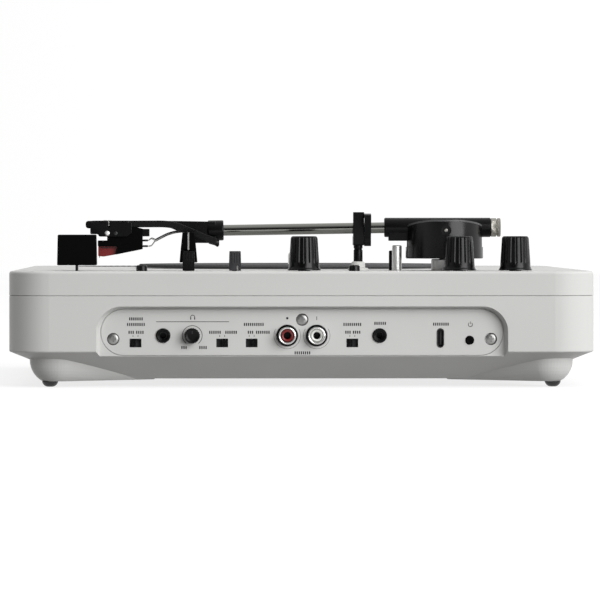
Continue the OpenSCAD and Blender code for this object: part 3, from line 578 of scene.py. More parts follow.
def pan_screw(centre, radius, height):
    """Domed head with a cross recess, facing the panel's side; centre is at the middle of its top."""
    dome = [(0, 0), (radius * 0.55, -0.08), (radius * 0.85, -0.32), (radius, -0.62), (radius, -height),
            (0, -height)]
    reach, width, depth = radius * 1.04, 0.64, 0.75
    cross = [prism(bar(centre.y, centre.z, *size), centre.x - depth, centre.x + 2, "X")
             for size in ((reach, width), (width, reach))]
    return carved(turned(dome, 0.25, centre, "X", 40), *cross)


def make_plate_screws():
    low, high = box_of("plate_screws")
    radius = 2.75
    inset = 2.9
    places = [Vector((high.x, low.y + inset, low.z + inset)), Vector((high.x, high.y - inset, low.z + inset)),
              Vector((high.x, 0, high.z - inset))]
    heads = [pan_screw(place, radius, 1.2) for place in places]
    # Dark cups round the screw heads: the countersinks in the plate, coloured dark as painted shade round
    # each screw.
    cup = [(1.6, -1.4), (2.98, -0.35), (2.98, -0.75), (1.6, -1.7)]
    cups = [closed_lathe(cup, place, "X", 40) for place in places]
    piece("plate_screw_heads", joined(*heads), ["plate_screws"], paint="screw_steel")
    piece("plate_screw_shade_cups", joined(*cups), body="case", slot="screw_steel", paint="dark_steel")


def jack_ring(node):
    low, high = box_of(node)
    centre = Vector((high.x, (low.y + high.y) / 2, high.z - 4))
    face = [(1.8, -11), (1.8, -0.9), (2.05, -0.55), (2.3, -0.5), (2.45, -0.12), (2.7, 0), (3.3, 0),
            (3.55, -0.25), (3.55, -0.8), (3.0, -0.9), (3.0, -11)]
    ring = closed_lathe(rounded(face, 0.12), centre, "X", 48)
    spring = closed_lathe([(1.55, -4.2), (1.75, -4.2), (1.75, -8), (1.55, -8)], centre, "X", 32)
    plug = lathe([(0, -10.6), (2.2, -10.6), (2.2, -11), (0, -11)], centre, "X", 24)
    piece(node + "_ring", joined(ring, plug), [node])
    piece(node + "_contact", spring, body="case", slot="nickel", paint="dark_steel")


def make_phono_sockets():
    low, high = box_of("rca_shells")
    z, inset = (low.z + high.z) / 2, (high.z - low.z) / 2
    places = [Vector((0, low.y + inset, z)), Vector((0, high.y - inset, z))]
    front, back, tip = box_of("rca_housing")[1].x, low.x, high.x
    collars, shells = [], []
    for place in places:
        collar = [(4.3, back), (5.2, back), (5.2, front - 0.45), (4.75, front), (4.35, front)]
        collars.append(closed_lathe(rounded(collar, 0.25), place, "X", 56))
        floor = [(0, back + 2), (3.3, back + 2), (3.3, back + 1), (0, back + 1)]
        collars.append(lathe(floor, place, "X", 32))
        shell = [(3.0, back), (3.9, back), (3.9, front - 0.1), (4.22, front), (4.22, tip - 1.4),
                 (4.08, tip - 1.2), (4.08, tip - 0.9), (4.22, tip - 0.7), (4.1, tip - 0.1), (3.8, tip),
                 (3.45, tip - 0.2), (3.0, tip - 0.9)]
        shells.append(closed_lathe(rounded(shell, 0.12), place, "X", 56))
    piece("phono_collars", joined(*collars), ["rca_housing"])
    piece("phono_shells", joined(*shells), ["rca_shells"])
    for node, place in zip(("rca_insulator_red", "rca_insulator_white"), places):
        tip = box_of(node)[1].x
        core = [(1.75, back + 2), (2.95, back + 0.5), (2.95, tip - 1.2), (2.85, tip - 0.3), (2.5, tip),
                (2.1, tip - 0.1), (1.75, tip - 0.6)]
        piece(node + "_core", closed_lathe(rounded(core, 0.2), place, "X", 48), [node])


def stadium(centre_y, centre_z, length, width, steps=12):
    """Upright slot outline, in (y, z)."""
    made = []
    for side in (1, -1):
        for k in range(steps + 1):
            angle = math.pi * k / steps if side > 0 else math.pi + math.pi * k / steps
            made.append((centre_y + width / 2 * math.cos(angle),
                         centre_z + side * (length - width) / 2 + width / 2 * math.sin(angle)))
    return made


def make_usb():
    low, high = box_of("usb_socket")
    y, z = (low.y + high.y) / 2, (low.z + high.z) / 2
    length, width = high.z - low.z, high.y - low.y
    shell = carved(prism(stadium(y, z, length, width), low.x, high.x, "X"),
                   prism(stadium(y, z, length - 0.7, width - 0.7), low.x + 2, high.x + 2, "X"))
    tongue = prism(rounded(bar(y, z, 0.7, 6.2), 0.15), low.x + 1.5, high.x - 1.0, "X")
    piece("usb_shell", shell, ["usb_socket"], paint="dark_steel", bevel=0.1)
    piece("usb_tongue", tongue, like="arm_rest", paint="charcoal_plastic", bevel=0.08)


def make_level_knob():
    centre = front_of("headphone_knob")
    flutes = 20

    def groove(radius, height, angle):
        depth = 0.28 if 3.3 < radius and height < -0.35 else 0.12 if radius > 3.2 else 0
        return radius - depth * (0.5 + 0.5 * math.cos(flutes * angle))

    profile = [(0, -0.35), (2.3, -0.35), (2.6, -0.15), (3.3, 0), (3.65, -0.2), (3.8, -0.5), (3.8, -4.5),
               (3.4, -4.7), (2.5, -4.7), (2.5, -9), (0, -9)]
    body = lathe(rounded(profile, 0.15, closed=False, steps=3), centre, "X", 160, groove)
    piece("level_knob", body, ["headphone_knob"], paint="black_plastic")
    mark = prism(bar(centre.y, centre.z + 1.6, 0.44, 1.4), centre.x - 0.6, centre.x - 0.33, "X")
    piece("level_knob_mark", mark, like="headphone_knob", paint="charcoal_plastic")


SLIDE_WAYS = {"fader_reverse_slider": 1, "monitor_slider": -1, "cartridge_slider": -1, "speaker_slider": 1}


def make_sliders():
    for node in SLIDE_WAYS:
        low, high = box_of(node)
        count = 4
        pitch = (high.y - low.y) / count
        outline = []
        for k in range(count):
            start = low.y + k * pitch
            outline += [(start, high.x - 0.35), (start + pitch * 0.3, high.x), (start + pitch * 0.75, high.x)]
        outline += [(high.y, high.x - 0.35), (high.y, low.x), (low.y, low.x)]
        ribs = prism([(x, y) for y, x in outline], low.z, high.z)
        piece(node + "_cap", ribs, [node], paint="black_plastic", bevel=0.08, steps=2)


def make_power_button():
    centre = front_of("power_button")
    profile = [(0, -0.22), (0.9, -0.16), (1.45, 0), (1.85, -0.15), (2.05, -0.5), (2.05, -6), (0, -6)]
    piece("power_button_cap", turned(profile, 0.2, centre, "X", 40), ["power_button"])


LEGEND_H = 1.45
LEGENDS = {                         # rows of dashes by a control: across, up, length
    "fader_reverse_slider": [(1.4, 11.7, 6.2), (1.4, 9.0, 8.6), (-0.9, 5.2, 2.6), (3.3, 5.2, 3.6)],
    "monitor_slider": [(-4.7, 5.2, 5.6), (3.1, 5.2, 5.6)],
    "cartridge_slider": [(-0.2, 9.0, 9.8), (-1.8, 5.2, 2.8), (4.2, 5.2, 6.6)],
    "speaker_slider": [(1.2, 9.0, 8.2), (-0.9, 5.2, 2.6), (3.3, 5.2, 3.6)],
    "aux_jack": [(0.2, 5.9, 5.6)],
    "usb_socket": [(0.2, 6.7, 7.6)],
    "rca_housing": [(0.2, -8.4, 7.8)],
    "headphone_knob": [(-4.0, -5.8, 3.0), (5.2, -5.8, 3.2)],
}


def ring_arc(centre, radius, width, start, end, steps=40):
    """Flat ring segment in (y, z)."""
    angles = [start + (end - start) * k / steps for k in range(steps + 1)]
    outer = [(centre[0] + radius * math.sin(a), centre[1] + radius * math.cos(a)) for a in angles]
    inner = [(centre[0] + (radius - width) * math.sin(a), centre[1] + (radius - width) * math.cos(a))
             for a in reversed(angles)]
    return outer + inner


def make_legends():
    """Plain printed marks: bars of dashes, a ring round the level knob, a power sign."""
    outlines = []
    dash, gap = 0.6, 0.4
    for node, (across, up, length) in ((node, row) for node, rows in LEGENDS.items() for row in rows):
        centre = centre_of(node)
        if node == "aux_jack":
            centre.z = box_of(node)[1].z - 4
        count = max(1, round((length + gap) / (dash + gap)))
        first = centre.y + across - (count - 1) * (dash + gap) / 2
        outlines += [bar(first + k * (dash + gap), centre.z + up, dash, LEGEND_H) for k in range(count)]
    level = centre_of("headphone_knob")
    jack = centre_of("headphone_jack")
    outlines.append(ring_arc((level.y, level.z), 4.95, 0.28, math.radians(-142), math.radians(142)))
    start, end = jack.y - 3.4, level.y + 17.8
    outlines.append(bar((start + end) / 2, level.z + 6.7, end - start, 0.3))
    phones_y = level.y + 0.2
    outlines.append(ring_arc((phones_y, level.z + 8.9), 1.15, 0.3, math.radians(-95), math.radians(95), 20))
    outlines += [bar(phones_y + side * 0.95, level.z + 8.3, 0.5, 1.1) for side in (-1, 1)]
    power = centre_of("power_button")
    outlines.append(ring_arc((power.y + 0.3, power.z + 7.6), 1.15, 0.28, math.radians(35), math.radians(325)))
    outlines.append(bar(power.y + 0.3, power.z + 8.5, 0.28, 1.2))
    half_throw = 1.2
    for node, way in SLIDE_WAYS.items():
        centre = centre_of(node)
        outlines += [bar(centre.y + (way + side) * half_throw, centre.z + 3.4, 0.25, 0.9) for side in (-1, 1)]
    red, white = centre_of("rca_insulator_red"), centre_of("rca_insulator_white")
    outlines.append(ring_arc((red.y, red.z + 8.4), 0.6, 0.59, 0, math.tau, 20)[:-1])
    outlines.append(bar(white.y, white.z + 8.4, 0.3, 1.7))
    for place in (red, white):
        outlines.append(ring_arc((place.y, place.z), 6.5, 0.14, math.radians(60), math.radians(300)))
    ink = [prism(outline, PANEL_X - 0.02, PANEL_X + 0.03, "X") for outline in outlines]
    piece("panel_marks", joined(*ink), like="connector_plate", paint="print_grey")


def make_panel():
    make_plate_screws()
    for node in ("headphone_jack", "aux_jack"):
        jack_ring(node)
    make_phono_sockets()
    make_usb()
    make_level_knob()
    make_sliders()
    make_power_button()
    make_legends()


# ---------- tonearm ----------

PIVOT = foot_of("arm_drum")
ARM_X, ARM_Y = PIVOT.x, PIVOT.y
TILT_Z = centre_of("pivot_screws").z
REST_Y = 28.5                       # the arm rest's post
LEVER_PIVOT = joint_place("cue_lever")


def tube_line():
    """Front and back centre of the arm tube."""
    low, high = box_of("arm_tube")
    radius = (high.x - low.x) / 2
    return Vector((ARM_X, low.y, low.z + radius)), Vector((ARM_X, high.y, high.z - radius)), radius


def along_tube(profile, steps):
    """Turned shape on the tube's own axis; heights run back from the tube's front end."""
    front, back, _ = tube_line()
    turn = (back - front).to_track_quat("Z", "X").to_matrix().to_4x4()
    return moved(lathe(profile, Vector(), "Z", steps), Matrix.Translation(front) @ turn)


def make_tube():
    front, back, radius = tube_line()
    length = (back - front).length
    profile = [(0, 0), (radius - 0.3, 0), (radius, 0.3), (radius, length - 0.3), (radius - 0.3, length),
               (0, length)]
    piece("arm_tube_rod", along_tube(profile, 96), ["arm_tube"], paint="arm_steel")


def make_wand():
    body = [(-41.5, 80.5), (-62, 80.85), (-81.7, 80.9), (-81.7, 78.3), (-66, 78.1), (-57.4, 74.6),
            (-57.2, 70.0), (-43.5, 69.9), (-41.5, 72)]
    block = prism(rounded(body, 0.9), ARM_X - 4.1, ARM_X + 4.1, "X")
    piece("wand_body", block, ["arm_wand"], bevel=0.6)
    collar = [(0, 1.2), (4.2, 1.2), (5.0, 1.9), (5.0, 8.8), (4.7, 9.3), (2.75, 9.3), (2.6, 8.9), (0, 8.9)]
    piece("wand_collar", along_tube(rounded(collar, 0.15, closed=False), 64), like="arm_wand")
    curve = [(box_of("arm_wand")[0].y, 79.3), (-74, 79.35), (-67, 79.3), (-62, 78.6), (-57, 76.9),
             (-49, 73.5), (-41.5, 70.6)]
    band = prism(thickened(smooth_line(curve, 30), 1.68), ARM_X + 4.15, ARM_X + 5.7, "X")
    lug = [(-42.3, 72.4), (-40.1, 72.4), (-40.1, 68.6), (-41.0, 67.9), (-42.3, 68.8), (-45.4, 69.6),
           (-45.4, 71)]
    piece("wand_strap", band, like="arm_wand", paint="knob_black", bevel=0.45)
    piece("wand_lug", prism(rounded(lug, 0.5), ARM_X - 1.4, ARM_X + 3.2, "X"), like="arm_wand", bevel=0.3)
    pin = turned([(0, 0), (0.75, 0), (0.75, -3), (0, -3)], 0.2, Vector((ARM_X + 3.6, -41.2, 70.4)), "X", 24)
    piece("wand_pin", pin, like="arm_wand", paint="dark_steel")


def make_headshell():
    low, high = box_of("headshell")
    top, nose, tail = high.z, low.y + 4.9, high.y
    outline = [(-8.4, nose + 5), (-6.8, nose + 1.2), (-3.2, nose), (3.2, nose), (6.8, nose + 1.2),
               (8.4, nose + 5), (8.4, tail - 2.5), (3.4, tail - 2.5), (3.4, tail - 0.05), (-3.4, tail - 0.05),
               (-3.4, tail - 2.5), (-8.4, tail - 2.5)]
    plate = prism(rounded([(ARM_X + x, y) for x, y in outline], 1.1), top - 3.6, top)
    screw_y = centre_of("headshell_screws").y
    screw_places = [Vector((ARM_X + side * 4.6, screw_y, high.z + 0.4)) for side in (-1, 1)]
    hole = [(0, -11.4), (1.3, -11.4), (1.3, 8.6), (0, 8.6)]
    holes = [lathe(hole, place, "Z", 32) for place in screw_places]
    slots = [prism(stadium(ARM_X + side * 2.9, tail - 8.2, 6.5, 2.0), top - 1.2, top + 2) for side in (-1, 1)]
    cheek_z = low.z - 0.5
    over_cap = box_of("crossfader_cap")[1].z + 0.2      # the crossfader cap passes below this
    step_y = box_of("stylus_unit")[0].y + 0.1
    profile = rounded([(nose - 0.6, top - 1), (nose - 0.6, over_cap), (step_y, over_cap),
                       (step_y + 0.6, cheek_z), (tail - 4, cheek_z), (tail - 1.4, cheek_z + 1.6),
                       (tail - 1.4, top - 1)], 0.7)
    cheeks = [prism(profile, ARM_X + start, ARM_X + start + 1.2, "X") for start in (-8.5, 7.3)]
    notch_y = screw_y + 0.7

    def notch():
        return slab((ARM_X + 6.9, notch_y - 0.55, top - 3.2), (ARM_X + 10, notch_y + 0.55, top + 1))

    plate = carved(plate, *holes, *slots, notch())
    cheeks[1] = carved(cheeks[1], notch())
    tongue = slab((ARM_X + 6.8, notch_y - 0.3, top - 3.1), (ARM_X + 8.2, notch_y + 0.3, top - 0.2))
    piece("headshell_clip", tongue, body="arm", slot="screw_steel", bevel=0.1)
    piece("headshell_plate", plate, ["headshell"], bevel=0.45)
    piece("headshell_cheeks", joined(*cheeks), like="headshell", bevel=0.35)
    lift = [(nose + 3, top - 3.85), (low.y + 2.0, top - 3.85), (low.y + 2.0, top - 0.1),
            (nose + 3, top - 0.1)]
    piece("finger_lift", prism(rounded(lift, 1.7, steps=6), ARM_X + 2.6, ARM_X + 7.0, "X"), like="headshell",
          bevel=0.7)
    heads = []
    for centre in screw_places:
        slotted = [(0, 0), (1.7, -0.05), (2.1, -0.4), (2.1, -1.15), (1.2, -1.2), (1.2, -7.3), (0, -7.3)]
        bolt = turned(slotted, 0.15, centre, "Z", 32)
        cut = slab((centre.x - 3, centre.y - 0.3, centre.z - 0.6),
                   (centre.x + 3, centre.y + 0.3, centre.z + 1))
        heads.append(carved(bolt, cut))
    piece("headshell_bolts", joined(*heads), ["headshell_screws"])
    for name, back, flat, radius, drop, paint in (("headshell_stop", 4.1, 0.8, 1.0, 0.3, "dark_steel"),
                                                  ("headshell_side_screw", 0, 0.9, 1.3, 0.4, "column_steel")):
        profile = [(0, 0), (flat, -0.1), (radius, -drop), (radius, -0.9), (0, -0.9)]
        centre = Vector((ARM_X + 8.9, screw_y + back, cheek_z + 1.6))
        piece(name, turned(profile, 0.15, centre, "X", 24), body="arm", slot="screw_steel", paint=paint)


def smooth_line(points, count):
    """Evenly spaced points on a smooth curve through the control points."""
    made = []
    spans = len(points) - 1
    for k in range(count + 1):
        t = k / count * spans
        i = min(int(t), spans - 1)
        t -= i
        a, b, c, d = (Vector(points[max(0, min(spans, i + j))]) for j in (-1, 0, 1, 2))
        made.append(tuple(0.5 * (2 * b + (c - a) * t + (2 * a - 5 * b + 4 * c - d) * t * t
                                 + (3 * b - a - 3 * c + d) * t ** 3)))
    return made


def thickened(line, half):
    """Outline of a strip that follows a line in one plane."""
    sides = ([], [])
    for i, point in enumerate(line):
        ahead = Vector(line[min(i + 1, len(line) - 1)]) - Vector(line[max(i - 1, 0)])
        up = Vector((-ahead.y, ahead.x)).normalized() * half
        sides[0].append(tuple(Vector(point) + up))
        sides[1].append(tuple(Vector(point) - up))
    return sides[0] + sides[1][::-1]


def make_cartridge():
    low, high = box_of("cartridge")
    body = [(-95.3, high.z), (-95.3, 71.2), (-99.9, 71.2), (-99.9, 68.3), (-90.2, 68.3), (-91.2, 64.2),
            (-77.9, 66.9), (-77.9, 77.0), (-81, high.z)]
    piece("cartridge_body", prism(rounded(body, 0.35), low.x + 0.1, high.x - 0.1, "X"), ["cartridge"],
          bevel=0.35)
    block = [(-80.4, 73.2), (-74.5, 73.2), (-74.5, 76.9), (-80.4, 76.9)]
    piece("cartridge_clip", prism(rounded(block, 0.4), low.x + 1.2, high.x - 1.2, "X"), like="arm_wand",
          bevel=0.3)
    pins = [turned([(0, -0.2), (0.42, -0.2), (0.5, 3.9), (0, 4.15)], 0.15, Vector((ARM_X + x, -79.3, z)),
                   "Y", 16) for x in (-3, 3) for z in (68.4, 71.2)]
    piece("cartridge_pins", joined(*pins), body="arm", slot="nickel", paint="dark_steel")
    low, high = box_of("stylus_unit")
    guard = [(-99.75, 68.4), (-99.75, 63.5), (-97, 63.25), (-90.5, 64.4), (-89.4, 68.4)]
    guard = prism(rounded(guard, 0.5), low.x + 0.05, high.x - 0.05, "X")
    piece("stylus_grip", guard, ["stylus_unit"], bevel=0.35)
    tip = Vector((ARM_X, low.y + 0.7, low.z))
    needle = turned([(0, 0), (0.1, 0.05), (0.34, 1.3), (0.34, 2.6), (0, 2.6)], 0.05, tip, "Z", 16)
    piece("stylus_needle", needle, body="arm", slot="nickel")
    for k, x in enumerate((-4.7, 4.7)):
        groove = prism([(-98, 67.4), (-92, 67.4), (-92, 67.7), (-98, 67.7)], ARM_X + x - 0.06,
                       ARM_X + x + 0.06, "X")
        piece("stylus_line_%d" % (k + 1), groove, like="stylus_unit", paint="print_grey")


def make_leads():
    low, high = box_of("lead_wires")
    thin, thick = 0.24, 0.68
    starts = [(-3, 71.2, 2.4), (3, 71.2, 1.6), (-3, 68.4, 1.0), (3, 68.4, 0.6)]
    wires = []
    for x, z, rise in starts:
        line = [(x, low.y, z), (x, low.y + 1.6, z + 0.5 * rise), (x * 0.7, low.y + 3.2, 70.2 + 0.7 * rise),
                (x * 0.3, low.y + 4.6, 71.6), (x * 0.2, low.y + 9.5, 74.3), (x * 0.1, high.y, 75.9)]
        wires.append(sweep([Vector((ARM_X + a, b, c)) for a, b, c in smooth_line(line, 24)], thin, 10))
    sleeve = [(0, low.y + 3.4, 71.2), (0, low.y + 6, 72.6), (0, low.y + 9.5, 74.3), (0, low.y + 13.5, 75.4),
              (0, high.y + 1, 76)]
    sleeve = sweep([Vector((ARM_X + a, b, c)) for a, b, c in smooth_line(sleeve, 16)], thick, 14)
    piece("cartridge_leads", joined(*wires), ["lead_wires"], paint="print_silver")
    piece("lead_sleeve", sleeve, like="lead_wires")


def make_drum():
    low, high = box_of("arm_drum")
    radius = (high.x - low.x) / 2
    slot, slot_z, dip = 5.1, 68.0, 2.5
    wall = [(0, low.z), (radius - 0.2, low.z), (radius + 0.2, low.z + 0.5), (radius, high.z - 6),
            (radius - 0.1, high.z + 1), (0, high.z + 1)]
    barrel = lathe(wall, PIVOT, "Z", 128)
    section = mirrored([(radius + 1, low.z - 1), (radius + 1, high.z), (radius - 1.2, high.z),
                        (slot, high.z - dip), (slot, slot_z)], ARM_X)
    section = prism(section, ARM_Y - 30, ARM_Y + 30, "Y")
    bore = [(0, 0), (2.5, 0), (2.5, 10), (0, 10)]
    bores = [lathe(bore, Vector((ARM_X + x, ARM_Y, TILT_Z)), "X", 40) for x in (-radius - 8.4, radius - 1.6)]
    post = lathe([(0, 50), (2.55, 50), (2.55, 90), (0, 90)], PIVOT, "Z", 32)
    drum = carved(shared(barrel, section), *bores, post)
    piece("pivot_drum", drum, ["arm_drum"], paint="drum_black", bevel=0.5)
    # A lighter grey band along the drum's top edge, outside and inside: a painted highlight where the rounded
    # rim catches the light.
    rim = [(radius - 0.9, high.z - 6), (radius + 0.12, high.z - 6), (radius + 0.05, high.z + 1),
           (radius - 0.9, high.z + 1)]
    edge = [(radius + 1, high.z), (radius - 1.2, high.z), (slot + 0.3, high.z - dip)]
    edge = [(x, z + 0.03) for x, z in edge] + [(x, z - 0.85) for x, z in reversed(edge)]
    for name, side in (("drum_rim_highlight_outer", 1), ("drum_rim_highlight_inner", -1)):
        band = closed_lathe(rim, PIVOT, "Z", 128)
        strip = prism([(ARM_X + side * x, z) for x, z in edge], ARM_Y - 30, ARM_Y + 30, "Y")
        piece(name, shared(band, strip), like="arm_drum", paint="rim_painted_highlight", bevel=0.38)
    pivots = []
    tip = radius - 0.75
    for side in (-1, 1):
        profile = [(0, tip - 0.3), (0.6, tip - 0.25), (0.95, tip - 0.5), (0.95, 2.8), (0, 2.8)]
        head = turned(profile, 0.12, Vector(), "X", 28)
        head = carved(head, slab((tip - 0.7, -2, -0.18), (tip + 2, 2, 0.18)))
        place = Matrix.Translation((ARM_X, ARM_Y, TILT_Z)) @ Matrix.Diagonal((side, 1, 1, 1))
        pivots.append(moved(head, place))
    piece("pivot_points", joined(*pivots), ["pivot_screws"], paint="weight_nickel")


def make_housing():
    low, high = box_of("arm_housing")
    axis = Vector((ARM_X, 0, high.z - (high.x - low.x) / 2))
    radius = 4.8
    barrel = [(0, low.y - 0.3), (4.3, low.y - 0.3), (radius, low.y + 0.1), (radius, high.y - 0.3),
              (4.5, high.y), (0, high.y)]
    barrel = turned(barrel, 0.2, axis, "Y", 72)
    start, end, bottom, top = low.y + 1.8, low.y + 18.6, low.z - 0.3, 76
    block = rounded([(start, top), (start, bottom), (end, bottom), (end, top)], 0.5)
    bore = lathe([(0, -20), (1.32, -20), (1.32, 20), (0, 20)], Vector((ARM_X, ARM_Y, TILT_Z)), "X", 24)
    piece("housing_barrel", carved(barrel, bore), ["arm_housing"])
    piece("housing_block", prism(block, ARM_X - 4, ARM_X + 4, "X"), like="arm_housing", bevel=0.4)
    low, high = box_of("counterweight")
    start = high.y - 4.9
    knurls = 56

    def knurl(radius, height, angle):
        flat = height < start + 0.5 or height > high.y - 0.5 or radius < 4.1
        return radius if flat else radius - 0.14 * (0.5 + 0.5 * math.cos(knurls * angle))

    wide = 4.6
    profile = [(0, start - 3), (2, start - 3), (2, start), (wide - 0.3, start), (wide, start + 0.3),
               (wide, start + 0.6), (wide, start + 2.6), (wide - 0.3, start + 2.8), (4.0, start + 2.85),
               (4.0, start + 3.2), (wide - 0.3, start + 3.25), (wide, start + 3.5), (wide, high.y - 0.6),
               (wide, high.y - 0.3), (wide - 0.3, high.y), (1.6, high.y), (1.2, high.y - 0.5),
               (0, high.y - 0.5)]
    piece("tail_weight", lathe(profile, axis, "Y", 224, knurl), ["counterweight"], paint="weight_nickel")


def make_rest():
    place = Vector((ARM_X + 1.5, REST_Y, 0))
    deck, shoulder, top = DECK_Z, 66.4, 69.5
    base = [(0, deck - 3), (2.5, deck - 3), (2.5, deck), (5.1, deck), (5.1, deck + 0.8), (4.7, deck + 1.25),
            (3.5, deck + 1.35), (3.5, deck + 3.2), (3.1, deck + 4.2), (2.5, deck + 4.5), (0, deck + 4.5)]
    piece("rest_base", turned(base, 0.25, place, "Z", 56), like="top_case")
    post = [(0, deck + 3.8), (2.25, deck + 3.8), (2.25, shoulder), (1.95, shoulder + 0.3),
            (1.95, shoulder + 0.8), (2.25, shoulder + 1.1), (2.25, top), (0, top)]
    post = turned(post, 0.15, place, "Z", 48)
    cradle = prism(rounded([(ARM_X - 5.5, 68.8), (ARM_X + 7, 68.8), (ARM_X + 7, 85.2), (ARM_X + 3.7, 85.2),
                            (ARM_X + 3.6, 75.2), (ARM_X + 2.4, 73.4), (ARM_X - 3.8, 73.2),
                            (ARM_X - 5.5, 73.6)], 0.8), place.y - 2.6, place.y + 2.85, "Y")
    piece("rest_cradle", cradle, ["arm_rest"], bevel=0.4)
    piece("rest_post", post, like="arm_rest")
    pin = turned([(0, 2.4), (1.25, 2.4), (1.25, 6.0), (1.0, 6.1), (0, 6.1)], 0.12,
                 Vector((ARM_X + 5.3, place.y, 70.8)), "Y", 28)
    piece("rest_pin", pin, body="case", slot="nickel", paint="dark_steel")


def make_cueing():
    low, high = box_of("cue_plunger")
    rod = [(0, low.z), (2.4, low.z), (2.4, high.z - 0.5), (2.1, high.z), (0, high.z)]
    piece("cue_rod", turned(rod, 0.2, foot_of("cue_plunger"), "Z", 64), ["cue_plunger"], paint="column_steel")
    low, high = box_of("cue_lever")
    x, z = LEVER_PIVOT.x, LEVER_PIVOT.z
    outline = mirrored([(1.5, z - 1.2), (1.35, high.z - 3.2), (1.5, high.z - 1.5), (0.8, high.z - 0.1)], x)
    hub = [(1.08, low.y), (2.0, low.y), (2.2, low.y + 0.2), (2.2, high.y - 0.2), (2.0, high.y),
           (1.08, high.y)]
    piece("lever_blade", prism(rounded(outline, 0.6), low.y, high.y, "Y"), ["cue_lever"], bevel=0.5)
    piece("lever_hub", closed_lathe(hub, Vector((x, 0, z)), "Y", 32), like="cue_lever")
    low, high = box_of("arm_post")
    top = box_of("arm_drum")[0].z - 0.3
    column = [(0, low.z), (4.9, low.z), (4.9, DECK_Z), (6.5, DECK_Z), (6.5, top - 0.35), (6.2, top),
              (2.5, top), (2.5, high.z - 0.4), (2.1, high.z), (0, high.z)]
    piece("arm_column", turned(column, 0.2, PIVOT, "Z", 64), ["arm_post"], paint="column_steel")


def make_tonearm():
    make_tube()
    make_wand()
    make_headshell()
    make_cartridge()
    make_leads()
    make_drum()
    make_housing()
    make_rest()
    make_cueing()


# ---------- deck controls ----------

FLUTES = 18


def knob_flute(radius, height, angle):
    """Round-bottomed flutes between the skirt and the top edge."""
    skirt, crown = 3.2, 5.6
    if height < skirt or radius < crown:
        return radius
    grow = min(1.0, height - skirt, (radius - crown) / 0.6)
    wave = 0.5 + 0.5 * math.cos(FLUTES * angle)
    return radius - 0.36 * grow * wave ** 8


def make_knob(node):
    base = foot_of(node) + Vector((0, 0, DECK_Z + 0.3))
    top = box_of(node)[1].z - base.z
    profile = [(0, 0), (8.15, 0), (8.15, 0.35), (7.75, 1.0), (7.5, 1.6), (7.42, 2.4), (7.38, 3.2),
               (7.33, 3.7), (7.3, 4.2), (7.2, 6), (7.0, 9), (6.8, 12), (6.62, top - 1.6), (6.5, top - 0.9),
               (6.25, top - 0.4), (5.9, top - 0.12), (5.4, top), (4.9, top - 0.05), (4.5, top - 0.45),
               (0, top - 0.5)]
    shell = lathe(profile, base, "Z", FLUTES * 16, knob_flute)
    shaft = turned([(0, -10), (3, -10), (3, 0.5), (0, 0.5)], 0.2, base, "Z", 40)
    piece(node + "_shell", joined(shell, shaft), [node])
    line = prism(rounded(bar(0, 3, 0.7, 2.8), 0.3), top - 0.6, top - 0.42)
    piece(node + "_pointer", moved(line, Matrix.Translation(base)), like=node, paint="print_white")


def make_fader_caps():
    low, high = box_of("crossfader_cap")
    (x, y, _), half = centre_of("crossfader_cap"), (high.y - low.y) / 2
    bottom, top = DECK_Z + 2.7, high.z
    outline = [(y - half, bottom), (y + half + 0.3, bottom), (y + half, top), (y - half + 0.3, top)]
    block = prism(rounded(outline, 0.6), low.x, high.x, "X")
    dish = prism([(x - 6.2, top + 1), (x - 5.2, top - 0.5), (x, top - 1.1), (x + 5.2, top - 0.5),
                  (x + 6.2, top + 1)], y - 20, y + 20, "Y")
    stem = slab((x - 2.5, y - 0.65, low.z), (x + 2.5, y + 0.65, bottom + 1))
    piece("crossfader_grip", carved(block, dish), ["crossfader_cap"], bevel=0.5)
    piece("crossfader_stem", stem, like="crossfader_cap", slot="black_plastic", paint="dark_steel", bevel=0.1)
    line = slab((x - 0.3, y - 8.8, top - 1.12), (x + 0.3, y + 8.8, top - 1.0))
    piece("crossfader_line", line, like="crossfader_cap", slot="black_plastic", paint="print_white")

    low, high = box_of("pitch_fader_cap")
    x, y, _ = centre_of("pitch_fader_cap")
    bottom, top = DECK_Z + 4.1, high.z
    outline = mirrored([(4.4, bottom), (3.7, bottom + 7.5), (2.95, top)], y)
    block = prism(rounded(outline, 0.5), low.x, high.x, "X")
    cuts = [slab((face - 0.35, y - 0.5, 66.2), (face + 0.35, y + 0.5, top + 1)) for face in (low.x, high.x)]
    cuts += [slab((face - 0.5, y - 2.6, bottom - 1), (face + 0.5, y + 2.6, bottom + 5.4))
             for face in (low.x, high.x)]
    piece("pitch_grip", carved(block, *cuts), ["pitch_fader_cap"], bevel=0.35)
    stripe = [slab((min(a, b), y - 0.36, 66.4), (max(a, b), y + 0.36, top - 0.4))
              for a, b in ((high.x - 0.35, high.x - 0.12), (low.x + 0.35, low.x + 0.12))]
    stripe.append(slab((low.x + 0.35, y - 0.36, top - 0.4), (high.x - 0.35, y + 0.36, top)))
    piece("pitch_line", joined(*stripe), like="pitch_fader_cap", slot="black_plastic", paint="print_silver")
    stem = slab((x - 0.65, y - 2, low.z), (x + 0.65, y + 2, bottom + 1))
    piece("pitch_stem", stem, like="pitch_fader_cap", slot="black_plastic", paint="nickel", bevel=0.1)


